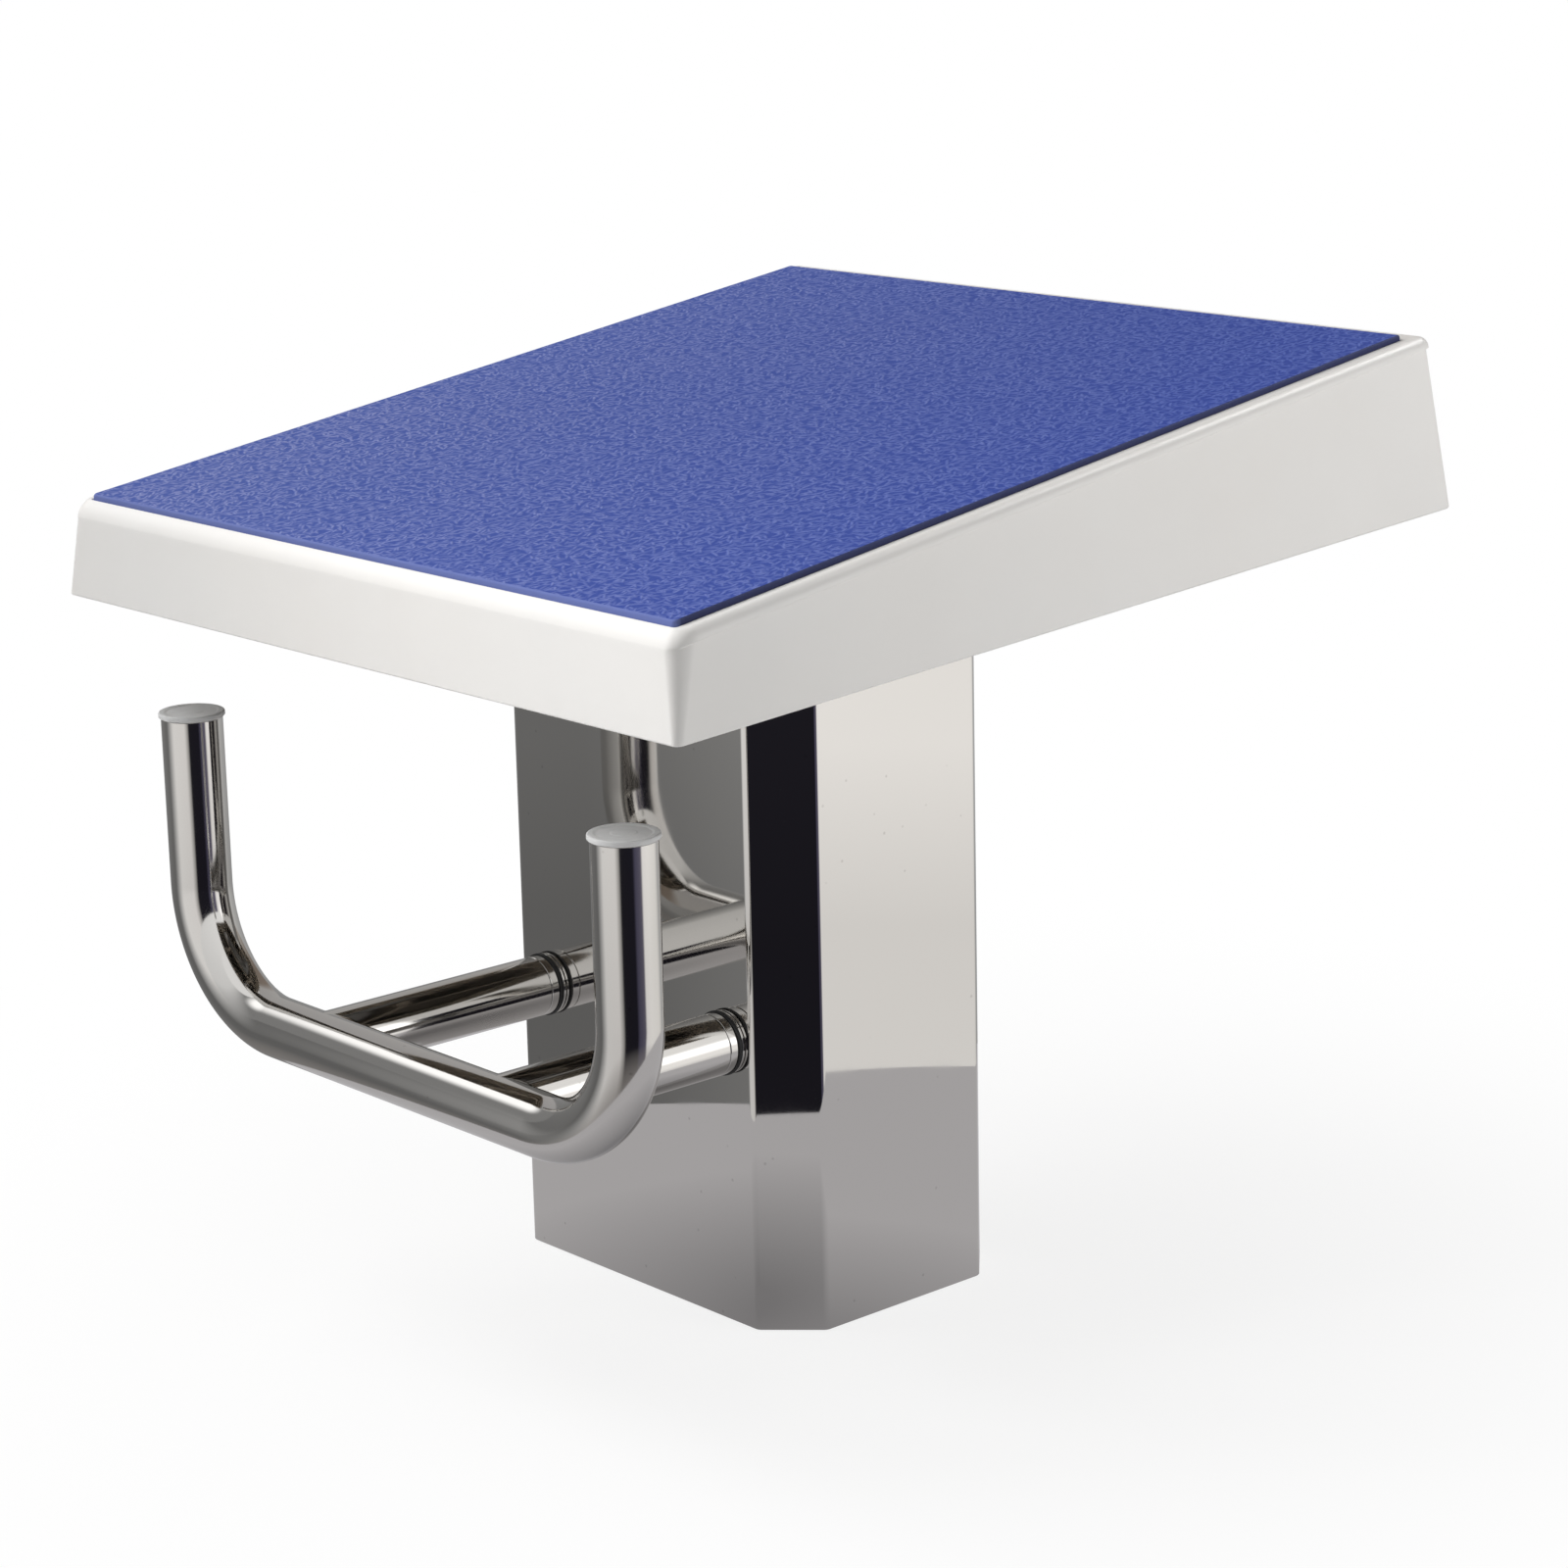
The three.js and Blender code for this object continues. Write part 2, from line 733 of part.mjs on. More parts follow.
for (const [sideName, side] of Object.entries(sides)) {
  const x = side * platformBoltSpacingX / 2;
  piece(slope, `insert_plate_${sideName}`, insertPlate(), plainSteel)
    .position.set(x, flangeCentreY, -insertUnderside);
  for (const [endName, end] of Object.entries(ends)) {
    const y = flangeCentreY + end * platformBoltSpacingY / 2;
    const washerLevel = flangeUnderside + fitGap + platformWasherThickness;
    const boltLevel = washerLevel + fitGap;
    const boltLength = boltLevel - insertTop - fitGap;
    piece(
      slope,
      `platform_washer_${endName}_${sideName}`,
      washer(platformWasherRadius, platformBoltRadius + holeGap, platformWasherThickness),
      plainSteel,
    ).position.set(x, y, -washerLevel);
    piece(
      slope,
      `platform_bolt_${endName}_${sideName}`,
      hexBolt(platformBoltRadius, boltLength, platformBoltHeadRadius, platformBoltHeadHeight),
      plainSteel,
    ).position.set(x, y, -boltLevel);

    const web = piece(
      slope,
      `flange_gusset_${endName}_${sideName}`,
      gusset(flangeGussetLength, flangeGussetHeight, flangeGussetThickness),
      plainSteel,
    );
    web.position.set(
      side * (columnWidth / 2 + fitGap),
      flangeCentreY + end * flangeGussetSpacing / 2,
      -columnTop,
    );
    web.rotation.set(Math.PI, 0, side > 0 ? 0 : Math.PI);
  }
}

// Column and its foot
piece(startingBlock, 'column_shell', columnShell(), polishedSteel);
piece(startingBlock, 'base_plate', basePlate(), plainSteel);
for (const [sideName, side] of Object.entries(sides)) {
  for (const [endName, end] of Object.entries(ends)) {
    const web = piece(
      startingBlock,
      `foot_gusset_${endName}_${sideName}`,
      gusset(footGussetLength, footGussetHeight, footGussetThickness),
      plainSteel,
    );
    web.position.set(
      side * footGussetSpacing / 2,
      end * (columnDepth / 2 - columnWall - fitGap),
      basePlateThickness + fitGap,
    );
    web.rotation.z = -end * Math.PI / 2;
  }
}

// Hand rail, with its plane square to the column's front face
const rail = new THREE.Group();
rail.position.y = -columnDepth / 2 - railReach;
startingBlock.add(rail);
piece(rail, 'rail_tube', railTube(), polishedSteel);
for (const [sideName, side] of Object.entries(sides)) {
  piece(rail, `end_cap_${sideName}`, endCap(), greyPlastic)
    .position.set(side * railSpan / 2, 0, uprightTop + fitGap);
}

// What lies between the bar and the column, from the column's front face towards the bar
for (const [sideName, side] of Object.entries(sides)) {
  const arm = new THREE.Group();
  arm.position.set(side * armSpacing / 2, -columnDepth / 2, railHeight);
  arm.rotation.x = Math.PI / 2;
  startingBlock.add(arm);
  piece(arm, `rail_arm_${sideName}`, railArm(), polishedSteel).position.z = armTubeStart;
  piece(arm, `arm_plug_${sideName}`, armPlug(), polishedSteel).position.z = collarStart;
  piece(arm, `seal_ring_${sideName}`, sealRing(), blackRubber).position.z = sealStart;
  piece(
    arm,
    `arm_washer_${sideName}`,
    washer(tubeRadius + armWasherOverhang, railBoltRadius + holeGap, armWasherThickness),
    polishedSteel,
  ).position.z = fitGap;

  const plateBack = columnWall + fitGap + backingThickness;
  const washerBack = plateBack + fitGap + railWasherThickness;
  const boltBack = washerBack + fitGap;
  const boltLength = boltBack + collarStart + railBoltEngagement;
  piece(
    arm,
    `rail_washer_${sideName}`,
    washer(railWasherRadius, railBoltRadius + holeGap, railWasherThickness),
    plainSteel,
  ).position.z = -washerBack;
  piece(
    arm,
    `rail_bolt_${sideName}`,
    hexBolt(railBoltRadius, boltLength, railBoltHeadRadius, railBoltHeadHeight),
    plainSteel,
  ).position.z = -boltBack;
}

const backing = piece(startingBlock, 'backing_plate', backingPlate(), plainSteel);
backing.position.set(0, columnWall + fitGap + backingThickness - columnDepth / 2, railHeight);
backing.rotation.x = Math.PI / 2;

export default startingBlock;
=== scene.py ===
import math

import bmesh
import bpy
from mathutils import Matrix, Vector, noise


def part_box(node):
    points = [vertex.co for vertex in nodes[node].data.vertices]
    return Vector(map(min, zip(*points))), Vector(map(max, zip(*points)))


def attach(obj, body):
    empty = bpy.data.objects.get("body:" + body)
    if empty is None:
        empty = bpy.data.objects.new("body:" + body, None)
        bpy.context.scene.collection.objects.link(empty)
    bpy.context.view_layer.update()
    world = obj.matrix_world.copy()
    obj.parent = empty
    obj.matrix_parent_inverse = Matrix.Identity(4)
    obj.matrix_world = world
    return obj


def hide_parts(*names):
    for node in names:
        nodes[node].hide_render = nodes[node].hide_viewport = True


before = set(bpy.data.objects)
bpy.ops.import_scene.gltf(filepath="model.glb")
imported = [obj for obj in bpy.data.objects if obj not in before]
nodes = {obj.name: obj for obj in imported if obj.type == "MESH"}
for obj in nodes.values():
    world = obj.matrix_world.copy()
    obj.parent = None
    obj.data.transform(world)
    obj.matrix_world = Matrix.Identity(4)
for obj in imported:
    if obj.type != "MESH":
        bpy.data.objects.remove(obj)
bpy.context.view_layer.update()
MM = 0.001
BODY = "root"

# Column. A 2.5 mm stainless sheet is folded to a box with chamfered corners, a bend on each side of every
# chamfer, and cut off at the platform's slope. It is mirror polished, so it shows what stands round it.
COLUMN_CHAMFER = 26.7 * MM
COLUMN_WALL = 2.5 * MM
BEND_RADIUS = 5.5 * MM
BEND_STEPS = 12
RIM_BREAK = 0.4 * MM
FRONT_SKIRT = 52 * MM
REAR_SKIRT = 95.2 * MM
EDGE_RISE = 35.5 * MM
FRONT_LEAN_SHARE = 0.075
REAR_LEAN_SHARE = 0.157
RAIL_BOLT_HOLE = 6.5 * MM
HOLE_SIDES = 48
TURNED_SIDES = 96
SMOOTH_ANGLE = math.radians(32)
SAME_POINT = MM / 1000
FLAT_WEIGHT = 100 # the most that large faces can count for in the shading

platform_low, platform_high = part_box("platform_shell")
column_low, column_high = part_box("column_shell")
top_front_y = platform_low.y + FRONT_LEAN_SHARE * FRONT_SKIRT
top_front_z = platform_low.z + FRONT_SKIRT
top_rear_y = platform_high.y - REAR_LEAN_SHARE * REAR_SKIRT
top_rear_z = platform_low.z + EDGE_RISE + REAR_SKIRT
top_slope = (top_rear_z - top_front_z) / (top_rear_y - top_front_y)
top_angle = math.atan(top_slope)


def as_mesh(form, name):
    mesh = bpy.data.meshes.new(name)
    form.to_mesh(mesh)
    form.free()
    return mesh


def skin(rings, closed=False, shades=None):
    """Skins rings of points: its ends are capped, or it closes on itself. Each pair of rings has a shade,
    the number of its material, and the caps take the first and the last."""
    form = bmesh.new()
    rows = [[form.verts.new(point) for point in ring] for ring in rings]
    pairs = list(zip(rows, rows[1:]))
    if closed:
        pairs.append((rows[-1], rows[0]))
    for index, (low, high) in enumerate(pairs):
        for i in range(len(low)):
            j = (i + 1) % len(low)
            face = form.faces.new((low[i], low[j], high[j], high[i]))
            face.material_index = shades[index] if shades else 0
    if not closed:
        caps = (form.faces.new(list(reversed(rows[0]))), form.faces.new(rows[-1]))
        for cap, index in zip(caps, (0, -1)):
            cap.material_index = shades[index] if shades else 0
    bmesh.ops.remove_doubles(form, verts=form.verts, dist=SAME_POINT)
    bmesh.ops.recalc_face_normals(form, faces=form.faces)
    return as_mesh(form, "skin")


def show(name, mesh, materials, slot, *replaced):
    """Puts a piece in the scene on the block's one body, with smooth rounds and crisp flats."""
    mesh.polygons.foreach_set("use_smooth", [True] * len(mesh.polygons))
    mesh.set_sharp_from_angle(angle=SMOOTH_ANGLE)
    piece = bpy.data.objects.new(name, mesh)
    bpy.context.scene.collection.objects.link(piece)
    shades = [face.material_index for face in mesh.polygons]
    mesh.materials.clear()
    for material in materials:
        mesh.materials.append(material)
    mesh.polygons.foreach_set("material_index", shades)
    flats = piece.modifiers.new("flats", "WEIGHTED_NORMAL")
    flats.keep_sharp = True
    flats.weight = FLAT_WEIGHT
    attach(piece, BODY)
    if replaced:
        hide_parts(*replaced)
    return piece


def combine(mesh, tool, operation):
    """Joins a closed mesh to another, or cuts it, and returns the result."""
    holder = bpy.data.objects.new("holder", mesh)
    other = bpy.data.objects.new("tool", tool)
    for item in (holder, other):
        bpy.context.scene.collection.objects.link(item)
    step = holder.modifiers.new("step", "BOOLEAN")
    step.operation = operation
    step.solver = "MANIFOLD"
    step.object = other
    bpy.context.view_layer.update()
    result = bpy.data.meshes.new_from_object(holder.evaluated_get(bpy.context.evaluated_depsgraph_get()))
    for item in (holder, other):
        bpy.data.objects.remove(item)
    return result


def merged(meshes):
    """One mesh that holds several, each still closed by itself."""
    form = bmesh.new()
    for mesh in meshes:
        form.from_mesh(mesh)
    return as_mesh(form, "merged")


def turned(profile, sides=TURNED_SIDES):
    """Turns a profile of (radius, height) points about Z. One that starts off the axis closes on itself."""
    rings = []
    for radius, height in profile:
        points = []
        for i in range(sides):
            angle = 2 * math.pi * i / sides
            points.append(Vector((radius * math.cos(angle), radius * math.sin(angle), height)))
        rings.append(points)
    return skin(rings, closed=profile[0][0] > SAME_POINT)


def moved(mesh, matrix):
    mesh.transform(matrix)
    return mesh


def sheet_section(offset):
    """The column's section as points, set in from the outside. All sections share the bends' centres."""
    x = column_high.x - BEND_RADIUS
    y = column_high.y - BEND_RADIUS
    leg = COLUMN_CHAMFER - BEND_RADIUS * (2 - math.sqrt(2))
    centres = [(x, y - leg), (x - leg, y), (leg - x, y), (-x, y - leg)]
    centres += [(-cx, -cy) for cx, cy in centres]
    points = []
    for bend, (cx, cy) in enumerate(centres):
        for step in range(BEND_STEPS + 1):
            angle = (bend + step / BEND_STEPS) * math.pi / 4
            reach = BEND_RADIUS - offset
            points.append((cx + reach * math.cos(angle), cy + reach * math.sin(angle)))
    return points


def column_mesh():
    def ring(offset, height_at):
        return [Vector((x, y, height_at(y))) for x, y in sheet_section(offset)]

    def top(y, drop=0):
        return column_high.z - (column_high.y - y) * top_slope - drop

    wall = skin([
        ring(RIM_BREAK, lambda y: column_low.z),
        ring(0, lambda y: column_low.z + RIM_BREAK),
        ring(0, lambda y: top(y, RIM_BREAK)),
        ring(RIM_BREAK, top),
        ring(COLUMN_WALL, top),
        ring(COLUMN_WALL, lambda y: column_low.z),
    ], closed=True)
    drills = []
    for side in ("left", "right"):
        low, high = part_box(f"arm_plug_{side}")
        middle = (low + high) / 2
        drill = turned([
            (0, -COLUMN_WALL),
            (RAIL_BOLT_HOLE, -COLUMN_WALL),
            (RAIL_BOLT_HOLE, COLUMN_WALL * 2),
            (0, COLUMN_WALL * 2),
        ], sides=HOLE_SIDES)
        place = Matrix.Translation((middle.x, column_low.y, middle.z))
        drills.append(moved(drill, place @ Matrix.Rotation(-math.pi / 2, 4, "X")))
    return combine(wall, merged(drills), "DIFFERENCE")


def colour(code):
    """An sRGB hex code as a linear colour."""
    channels = [int(code[i:i + 2], 16) / 255 for i in (1, 3, 5)]
    linear = [c / 12.92 if c <= 0.04045 else ((c + 0.055) / 1.055) ** 2.4 for c in channels]
    return (*linear, 1)


def fill(tree, node, inputs):
    """Sets a node's inputs, or links another node's output to them."""
    for name, value in inputs.items():
        if isinstance(value, bpy.types.NodeSocket):
            tree.links.new(value, node.inputs[name])
        else:
            node.inputs[name].default_value = value


def add(tree, kind, inputs=(), **settings):
    """Adds a node, sets it, and sets or links its inputs, which are named or numbered."""
    node = tree.nodes.new(kind)
    for name, value in settings.items():
        setattr(node, name, value)
    fill(tree, node, dict(inputs))
    return node


def begin(name):
    """A material that holds only a shader, with the place on the piece in metres to draw patterns by."""
    material = bpy.data.materials.new(name)
    material.use_nodes = True
    tree = material.node_tree
    tree.nodes.clear()
    shader = add(tree, "ShaderNodeBsdfPrincipled")
    add(tree, "ShaderNodeOutputMaterial", {"Surface": shader.outputs["BSDF"]})
    place = add(tree, "ShaderNodeTexCoord").outputs["Object"]
    return material, tree, shader, place


def blotches(tree, place, size, detail):
    """Noise with blotches of about a size, from 0 to 1."""
    noise_node = add(tree, "ShaderNodeTexNoise", {"Vector": place, "Scale": 1 / size, "Detail": detail})
    return noise_node.outputs["Fac"]


def stretched(tree, place, sizes, detail):
    """The same with blotches of another size along each axis."""
    scaled = add(tree, "ShaderNodeMapping", {"Vector": place, "Scale": [1 / size for size in sizes]})
    return blotches(tree, scaled.outputs[0], 1, detail)


def blend(tree, share, first, second):
    """A colour between two, each a hex code or a node's output."""
    first, second = (colour(c) if isinstance(c, str) else c for c in (first, second))
    return add(tree, "ShaderNodeMix", {0: share, 6: first, 7: second}, data_type="RGBA").outputs[2]


def remap(tree, value, run, to=(0, 1), **settings):
    """Turns a value that runs between two numbers into one that runs between two others."""
    return add(tree, "ShaderNodeMapRange", {
        "Value": value,
        "From Min": run[0],
        "From Max": run[1],
        "To Min": to[0],
        "To Max": to[1],
    }, **settings).outputs[0]


def reckon(tree, operation, first, second):
    return add(tree, "ShaderNodeMath", {0: first, 1: second}, operation=operation).outputs[0]


def reckon_vector(tree, operation, first, second):
    return add(tree, "ShaderNodeVectorMath", {0: first, 1: second}, operation=operation).outputs[0]


def distance_from(tree, place, point):
    distance = add(tree, "ShaderNodeVectorMath", {0: place, 1: point}, operation="DISTANCE")
    return distance.outputs["Value"]


def bump(tree, height, depth, **more):
    """A bumpy normal, as deep as given in metres."""
    return add(tree, "ShaderNodeBump", {"Height": height, "Distance": depth, **more}).outputs[0]


# Mirror-polished stainless steel, ground and buffed after folding. It gives a clear but faintly wavy
# reflection, with wiped smudges, fine buffing lines and a few dry water spots.
POLISH = "#D2D0CD"
POLISH_SPOT = "#B2B0AD"
SHEET_ROUGHNESS = (0.015, 0.045)
SMUDGE_SIZE = 42 * MM
SMUDGE_SHARES = (0.35, 0.7) # how much of the noise leaves the steel clear, and fully smudged
WAVE_SIZE = 70 * MM
WAVE_HEIGHT = 0.05 * MM
BUFF_WIDTH = 0.9 * MM # drawn four times as wide as it is, to show
BUFF_LENGTH = 60 * MM
BUFF_HEIGHT = 0.0006 * MM
SPOT_SPACING = 16 * MM
SPOT_RADIUS_SHARE = 0.07
SPOT_CORE_SHARE = 0.5


def polished_steel(name, buff_along, finish):
    """The finish is the lowest and highest roughness."""
    material, tree, shader, place = begin(name)
    smudges = blotches(tree, place, SMUDGE_SIZE, 4)
    sizes = [BUFF_WIDTH] * 3
    sizes["XYZ".index(buff_along)] = BUFF_LENGTH
    wavy = bump(tree, blotches(tree, place, WAVE_SIZE, 0), WAVE_HEIGHT)
    lined = bump(tree, stretched(tree, place, sizes, 2), BUFF_HEIGHT, Normal=wavy)
    spots = add(tree, "ShaderNodeTexVoronoi", {"Vector": place, "Scale": 1 / SPOT_SPACING})
    dots = remap(tree, spots.outputs["Distance"], (SPOT_RADIUS_SHARE, SPOT_RADIUS_SHARE * SPOT_CORE_SHARE))
    fill(tree, shader, {
        "Base Color": blend(tree, reckon(tree, "MULTIPLY", dots, smudges), POLISH, POLISH_SPOT),
        "Roughness": remap(tree, smudges, SMUDGE_SHARES, finish),
        "Normal": lined,
        "Metallic": 1,
    })
    return material


column_steel = polished_steel("mirror_polished_stainless_sheet", "Z", SHEET_ROUGHNESS)
show("column_skin", column_mesh(), [column_steel], "polished_steel", "column_shell")

# Foot, flange, inserts, backing plate, bolts and washers. Laser-cut plate and plain A2 bolts, left as
# they came from the mill and welded or bolted where they can't be seen. The frame's own solids are kept.
MILL = "#A9A8A5"
MILL_DARK = "#8C8B88"
MILL_ROUGHNESS = (0.3, 0.48)
ROLL_WIDTH = 0.6 * MM
ROLL_LENGTH = 25 * MM
ROLL_HEIGHT = 0.004 * MM
MILL_STAIN_SIZE = 30 * MM
PLAIN_NODES = ["base_plate", "top_flange", "backing_plate"]
for side in ("left", "right"):
    PLAIN_NODES += [f"insert_plate_{side}", f"rail_washer_{side}", f"rail_bolt_{side}"]
    for end in ("front", "rear"):
        PLAIN_NODES += [f"{part}_{end}_{side}" for part in
                        ("platform_washer", "platform_bolt", "flange_gusset", "foot_gusset")]


def mill_steel():
    """Hot-rolled and pickled stainless: a dull silver with a fine grain along the rolling."""
    material, tree, shader, place = begin("mill_finish_stainless_plate")
    grain = stretched(tree, place, (ROLL_LENGTH, ROLL_WIDTH, ROLL_WIDTH), 3)
    fill(tree, shader, {
        "Base Color": blend(tree, blotches(tree, place, MILL_STAIN_SIZE, 5), MILL, MILL_DARK),
        "Roughness": remap(tree, grain, (0, 1), MILL_ROUGHNESS),
        "Normal": bump(tree, grain, ROLL_HEIGHT),
        "Metallic": 1,
    })
    return material


plain_steel = mill_steel()
for name in PLAIN_NODES:
    held = nodes[name]
    held.data.materials.clear()
    held.data.materials.append(plain_steel)

# Hand rail. One stainless tube is bent cold to a U over a mandrel, which leaves it a little flatter in
# the bends, and polished along its length. The swimmer holds it for a backstroke start.
TUBE_WALL = 2 * MM
RAIL_BEND_RADIUS = 70 * MM
RAIL_BEND_STEPS = 40
TUBE_SIDES = 96
BEND_FLATTENING_SHARE = 0.025
TUBE_END_BREAK = 0.3 * MM
TUBE_ROUGHNESS = (0.07, 0.12)

rail_low, rail_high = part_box("rail_tube")
tube_radius = (rail_high.y - rail_low.y) / 2
bar_y = (rail_high.y + rail_low.y) / 2
bar_z = rail_low.z + tube_radius
upright_x = rail_high.x - tube_radius


def rail_stations():
    """The centre line's points, each with its direction and how far into a bend it lies, from 0 to 1."""
    down = Vector((0, 0, -1))
    stations = [(Vector((-upright_x, bar_y, rail_high.z)), down, 0)]
    bend_z = bar_z + RAIL_BEND_RADIUS
    for side in (-1, 1):
        centre = Vector((side * (upright_x - RAIL_BEND_RADIUS), bar_y, bend_z))
        for step in range(RAIL_BEND_STEPS + 1):
            share = step / RAIL_BEND_STEPS
            angle = math.pi * (1 if side < 0 else 1.5) + share * math.pi / 2
            out = Vector((math.cos(angle), 0, math.sin(angle)))
            along = Vector((-math.sin(angle), 0, math.cos(angle)))
            stations.append((centre + out * RAIL_BEND_RADIUS, along, math.sin(share * math.pi)))
    stations.append((Vector((upright_x, bar_y, rail_high.z)), -down, 0))
    return stations


def tube_ring(point, along, radius, flattening=0):
    across = Vector((0, 1, 0))
    inward = along.cross(across)
    ring = []
    for i in range(TUBE_SIDES):
        angle = 2 * math.pi * i / TUBE_SIDES
        squeeze = 1 - flattening
        ring.append(point + across * radius * math.cos(angle) + inward * radius * squeeze * math.sin(angle))
    return ring


def rail_mesh():
    stations = rail_stations()
    bore = tube_radius - TUBE_WALL
    start, end = stations[0], stations[-1]
    outside = [tube_ring(start[0], start[1], tube_radius - TUBE_END_BREAK)]
    outside.append(tube_ring(start[0] + start[1] * TUBE_END_BREAK, start[1], tube_radius))
    for point, along, bent in stations[1:-1]:
        outside.append(tube_ring(point, along, tube_radius, BEND_FLATTENING_SHARE * bent))
    outside.append(tube_ring(end[0] - end[1] * TUBE_END_BREAK, end[1], tube_radius))
    outside.append(tube_ring(end[0], end[1], tube_radius - TUBE_END_BREAK))
    inside = []
    for point, along, bent in reversed(stations):
        inside.append(tube_ring(point, along, bore, BEND_FLATTENING_SHARE * bent))
    return skin(outside + inside, closed=True)


rail_steel = polished_steel("satin_polished_stainless_tube", "X", TUBE_ROUGHNESS)
show("hand_rail", rail_mesh(), [rail_steel], "polished_steel", "rail_tube")

# Arms. Two tubes of the same size run from the bar to the column. Each is coped to the bar and welded
# on, and the weld is ground to a small round fillet and polished with the rest.
WELD_RADIUS = 3 * MM
WELD_STEPS = 6
ARM_GRIP_SHARE = 0.5 # how much of its wall the arm sinks into the bar's round
arm_steel = polished_steel("satin_polished_stainless_arm", "Y", TUBE_ROUGHNESS)


def arm_mesh(low, high):
    middle = (low + high) / 2
    bore = tube_radius - TUBE_WALL

    def ring(radius, reach):
        points = []
        for i in range(TUBE_SIDES):
            angle = 2 * math.pi * i / TUBE_SIDES
            x = middle.x + radius * math.cos(angle)
            z = bar_z + radius * math.sin(angle)
            points.append(Vector((x, reach(z - bar_z), z)))
        return points

    def cope(z):
        return bar_y + math.sqrt(max(0, (tube_radius - TUBE_WALL * ARM_GRIP_SHARE) ** 2 - z * z))

    return skin([
        ring(tube_radius - TUBE_END_BREAK, lambda z: high.y),
        ring(tube_radius, lambda z: high.y - TUBE_END_BREAK),
        ring(tube_radius, cope),
        ring(bore, cope),
        ring(bore, lambda z: high.y),
    ], closed=True)


def weld_mesh(x):
    """Fillets on both sides of an arm: each touches arm and bar, and thins out where they lie flush."""
    halves = []
    for side in (-1, 1):
        rings = []
        for i in range(1, TUBE_SIDES // 2):
            angle = math.pi * (i / (TUBE_SIDES // 2) - 0.5)
            out, rise = side * math.cos(angle), math.sin(angle)
            outwards = Vector((out, abs(out), rise))
            root = Vector((x, bar_y, bar_z)) + outwards * tube_radius
            centre = root + outwards * WELD_RADIUS
            on_arm = Vector((root.x, centre.y, root.z))
            on_bar = Vector((centre.x, root.y, root.z))
            ring = []
            for step in range(WELD_STEPS + 1):
                share = step / WELD_STEPS
                toward = (on_arm - centre).lerp(on_bar - centre, share).normalized()
                ring.append(centre + toward * WELD_RADIUS)
            ring.append(root - (centre - root).normalized() * TUBE_WALL * ARM_GRIP_SHARE)
            rings.append(ring if side > 0 else ring[::-1])
        halves.append(skin(rings))
    return merged(halves)


for side in ("left", "right"):
    arm_low, arm_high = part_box(f"rail_arm_{side}")
    arm_x = (arm_low.x + arm_high.x) / 2
    show(f"arm_tube_{side}", arm_mesh(arm_low, arm_high), [arm_steel], "polished_steel", f"rail_arm_{side}")
    show(f"arm_weld_{side}", weld_mesh(arm_x), [arm_steel], "polished_steel")

# Arm ends. A turned plug is pressed and welded into each arm, with a collar as wide as the tube. A black
# rubber ring and a polished washer lie between the collar and the column, where the bolt draws all tight.
COLLAR_WIDTH = 5 * MM
COLLAR_BREAK = 0.5 * MM
PLUG_BORE = 6.3 * MM
PLUG_END_WALL = 2 * MM
SEAL_BORE = 8 * MM
SEAL_ROUND = 0.7 * MM
WASHER_BORE = 6.5 * MM
WASHER_BREAK = 0.35 * MM
ROUND_STEPS = 8
RUBBER = "#101011"
RUBBER_WORN = "#1C1C1D"
RUBBER_GRAIN = 0.8 * MM
RUBBER_GRAIN_DEPTH = 0.03 * MM
RUBBER_ROUGHNESS = 0.55


def rounded(corner, radius, start):
    """Points of a quarter round in a turned profile, from a corner's centre and the angle it starts at."""
    points = []
    for step in range(ROUND_STEPS + 1):
        angle = start + step / ROUND_STEPS * math.pi / 2
        points.append((corner[0] + radius * math.cos(angle), corner[1] + radius * math.sin(angle)))
    return points


def rim_disc(bore, radius, thickness, edge):
    """A turned ring that stands on z = 0, with both outer rims rounded."""
    return turned([
        (bore, 0),
        *rounded((radius - edge, edge), edge, -math.pi / 2),
        *rounded((radius - edge, thickness - edge), edge, 0),
        (bore, thickness),
    ])


def plug_mesh(length):
    spigot = tube_radius - TUBE_WALL - COLLAR_BREAK
    depth = length - PLUG_END_WALL
    return turned([
        (0, depth),
        (PLUG_BORE, depth - PLUG_BORE / 2),
        (PLUG_BORE, 0),
        *rounded((tube_radius - COLLAR_BREAK, COLLAR_BREAK), COLLAR_BREAK, -math.pi / 2),
        *rounded((tube_radius - COLLAR_BREAK, COLLAR_WIDTH - COLLAR_BREAK), COLLAR_BREAK, 0),
        (spigot, COLLAR_WIDTH),
        (spigot, length - COLLAR_BREAK),
        (spigot - COLLAR_BREAK, length),
        (0, length),
    ])


def ring_rubber():
    """Moulded EPDM ring: dull black, a little greyer where it has dried, with a fine moulded grain."""
    material, tree, shader, place = begin("black_moulded_rubber")
    grain = blotches(tree, place, RUBBER_GRAIN, 3)
    fill(tree, shader, {
        "Base Color": blend(tree, grain, RUBBER, RUBBER_WORN),
        "Normal": bump(tree, grain, RUBBER_GRAIN_DEPTH),
        "Roughness": RUBBER_ROUGHNESS,
    })
    return material


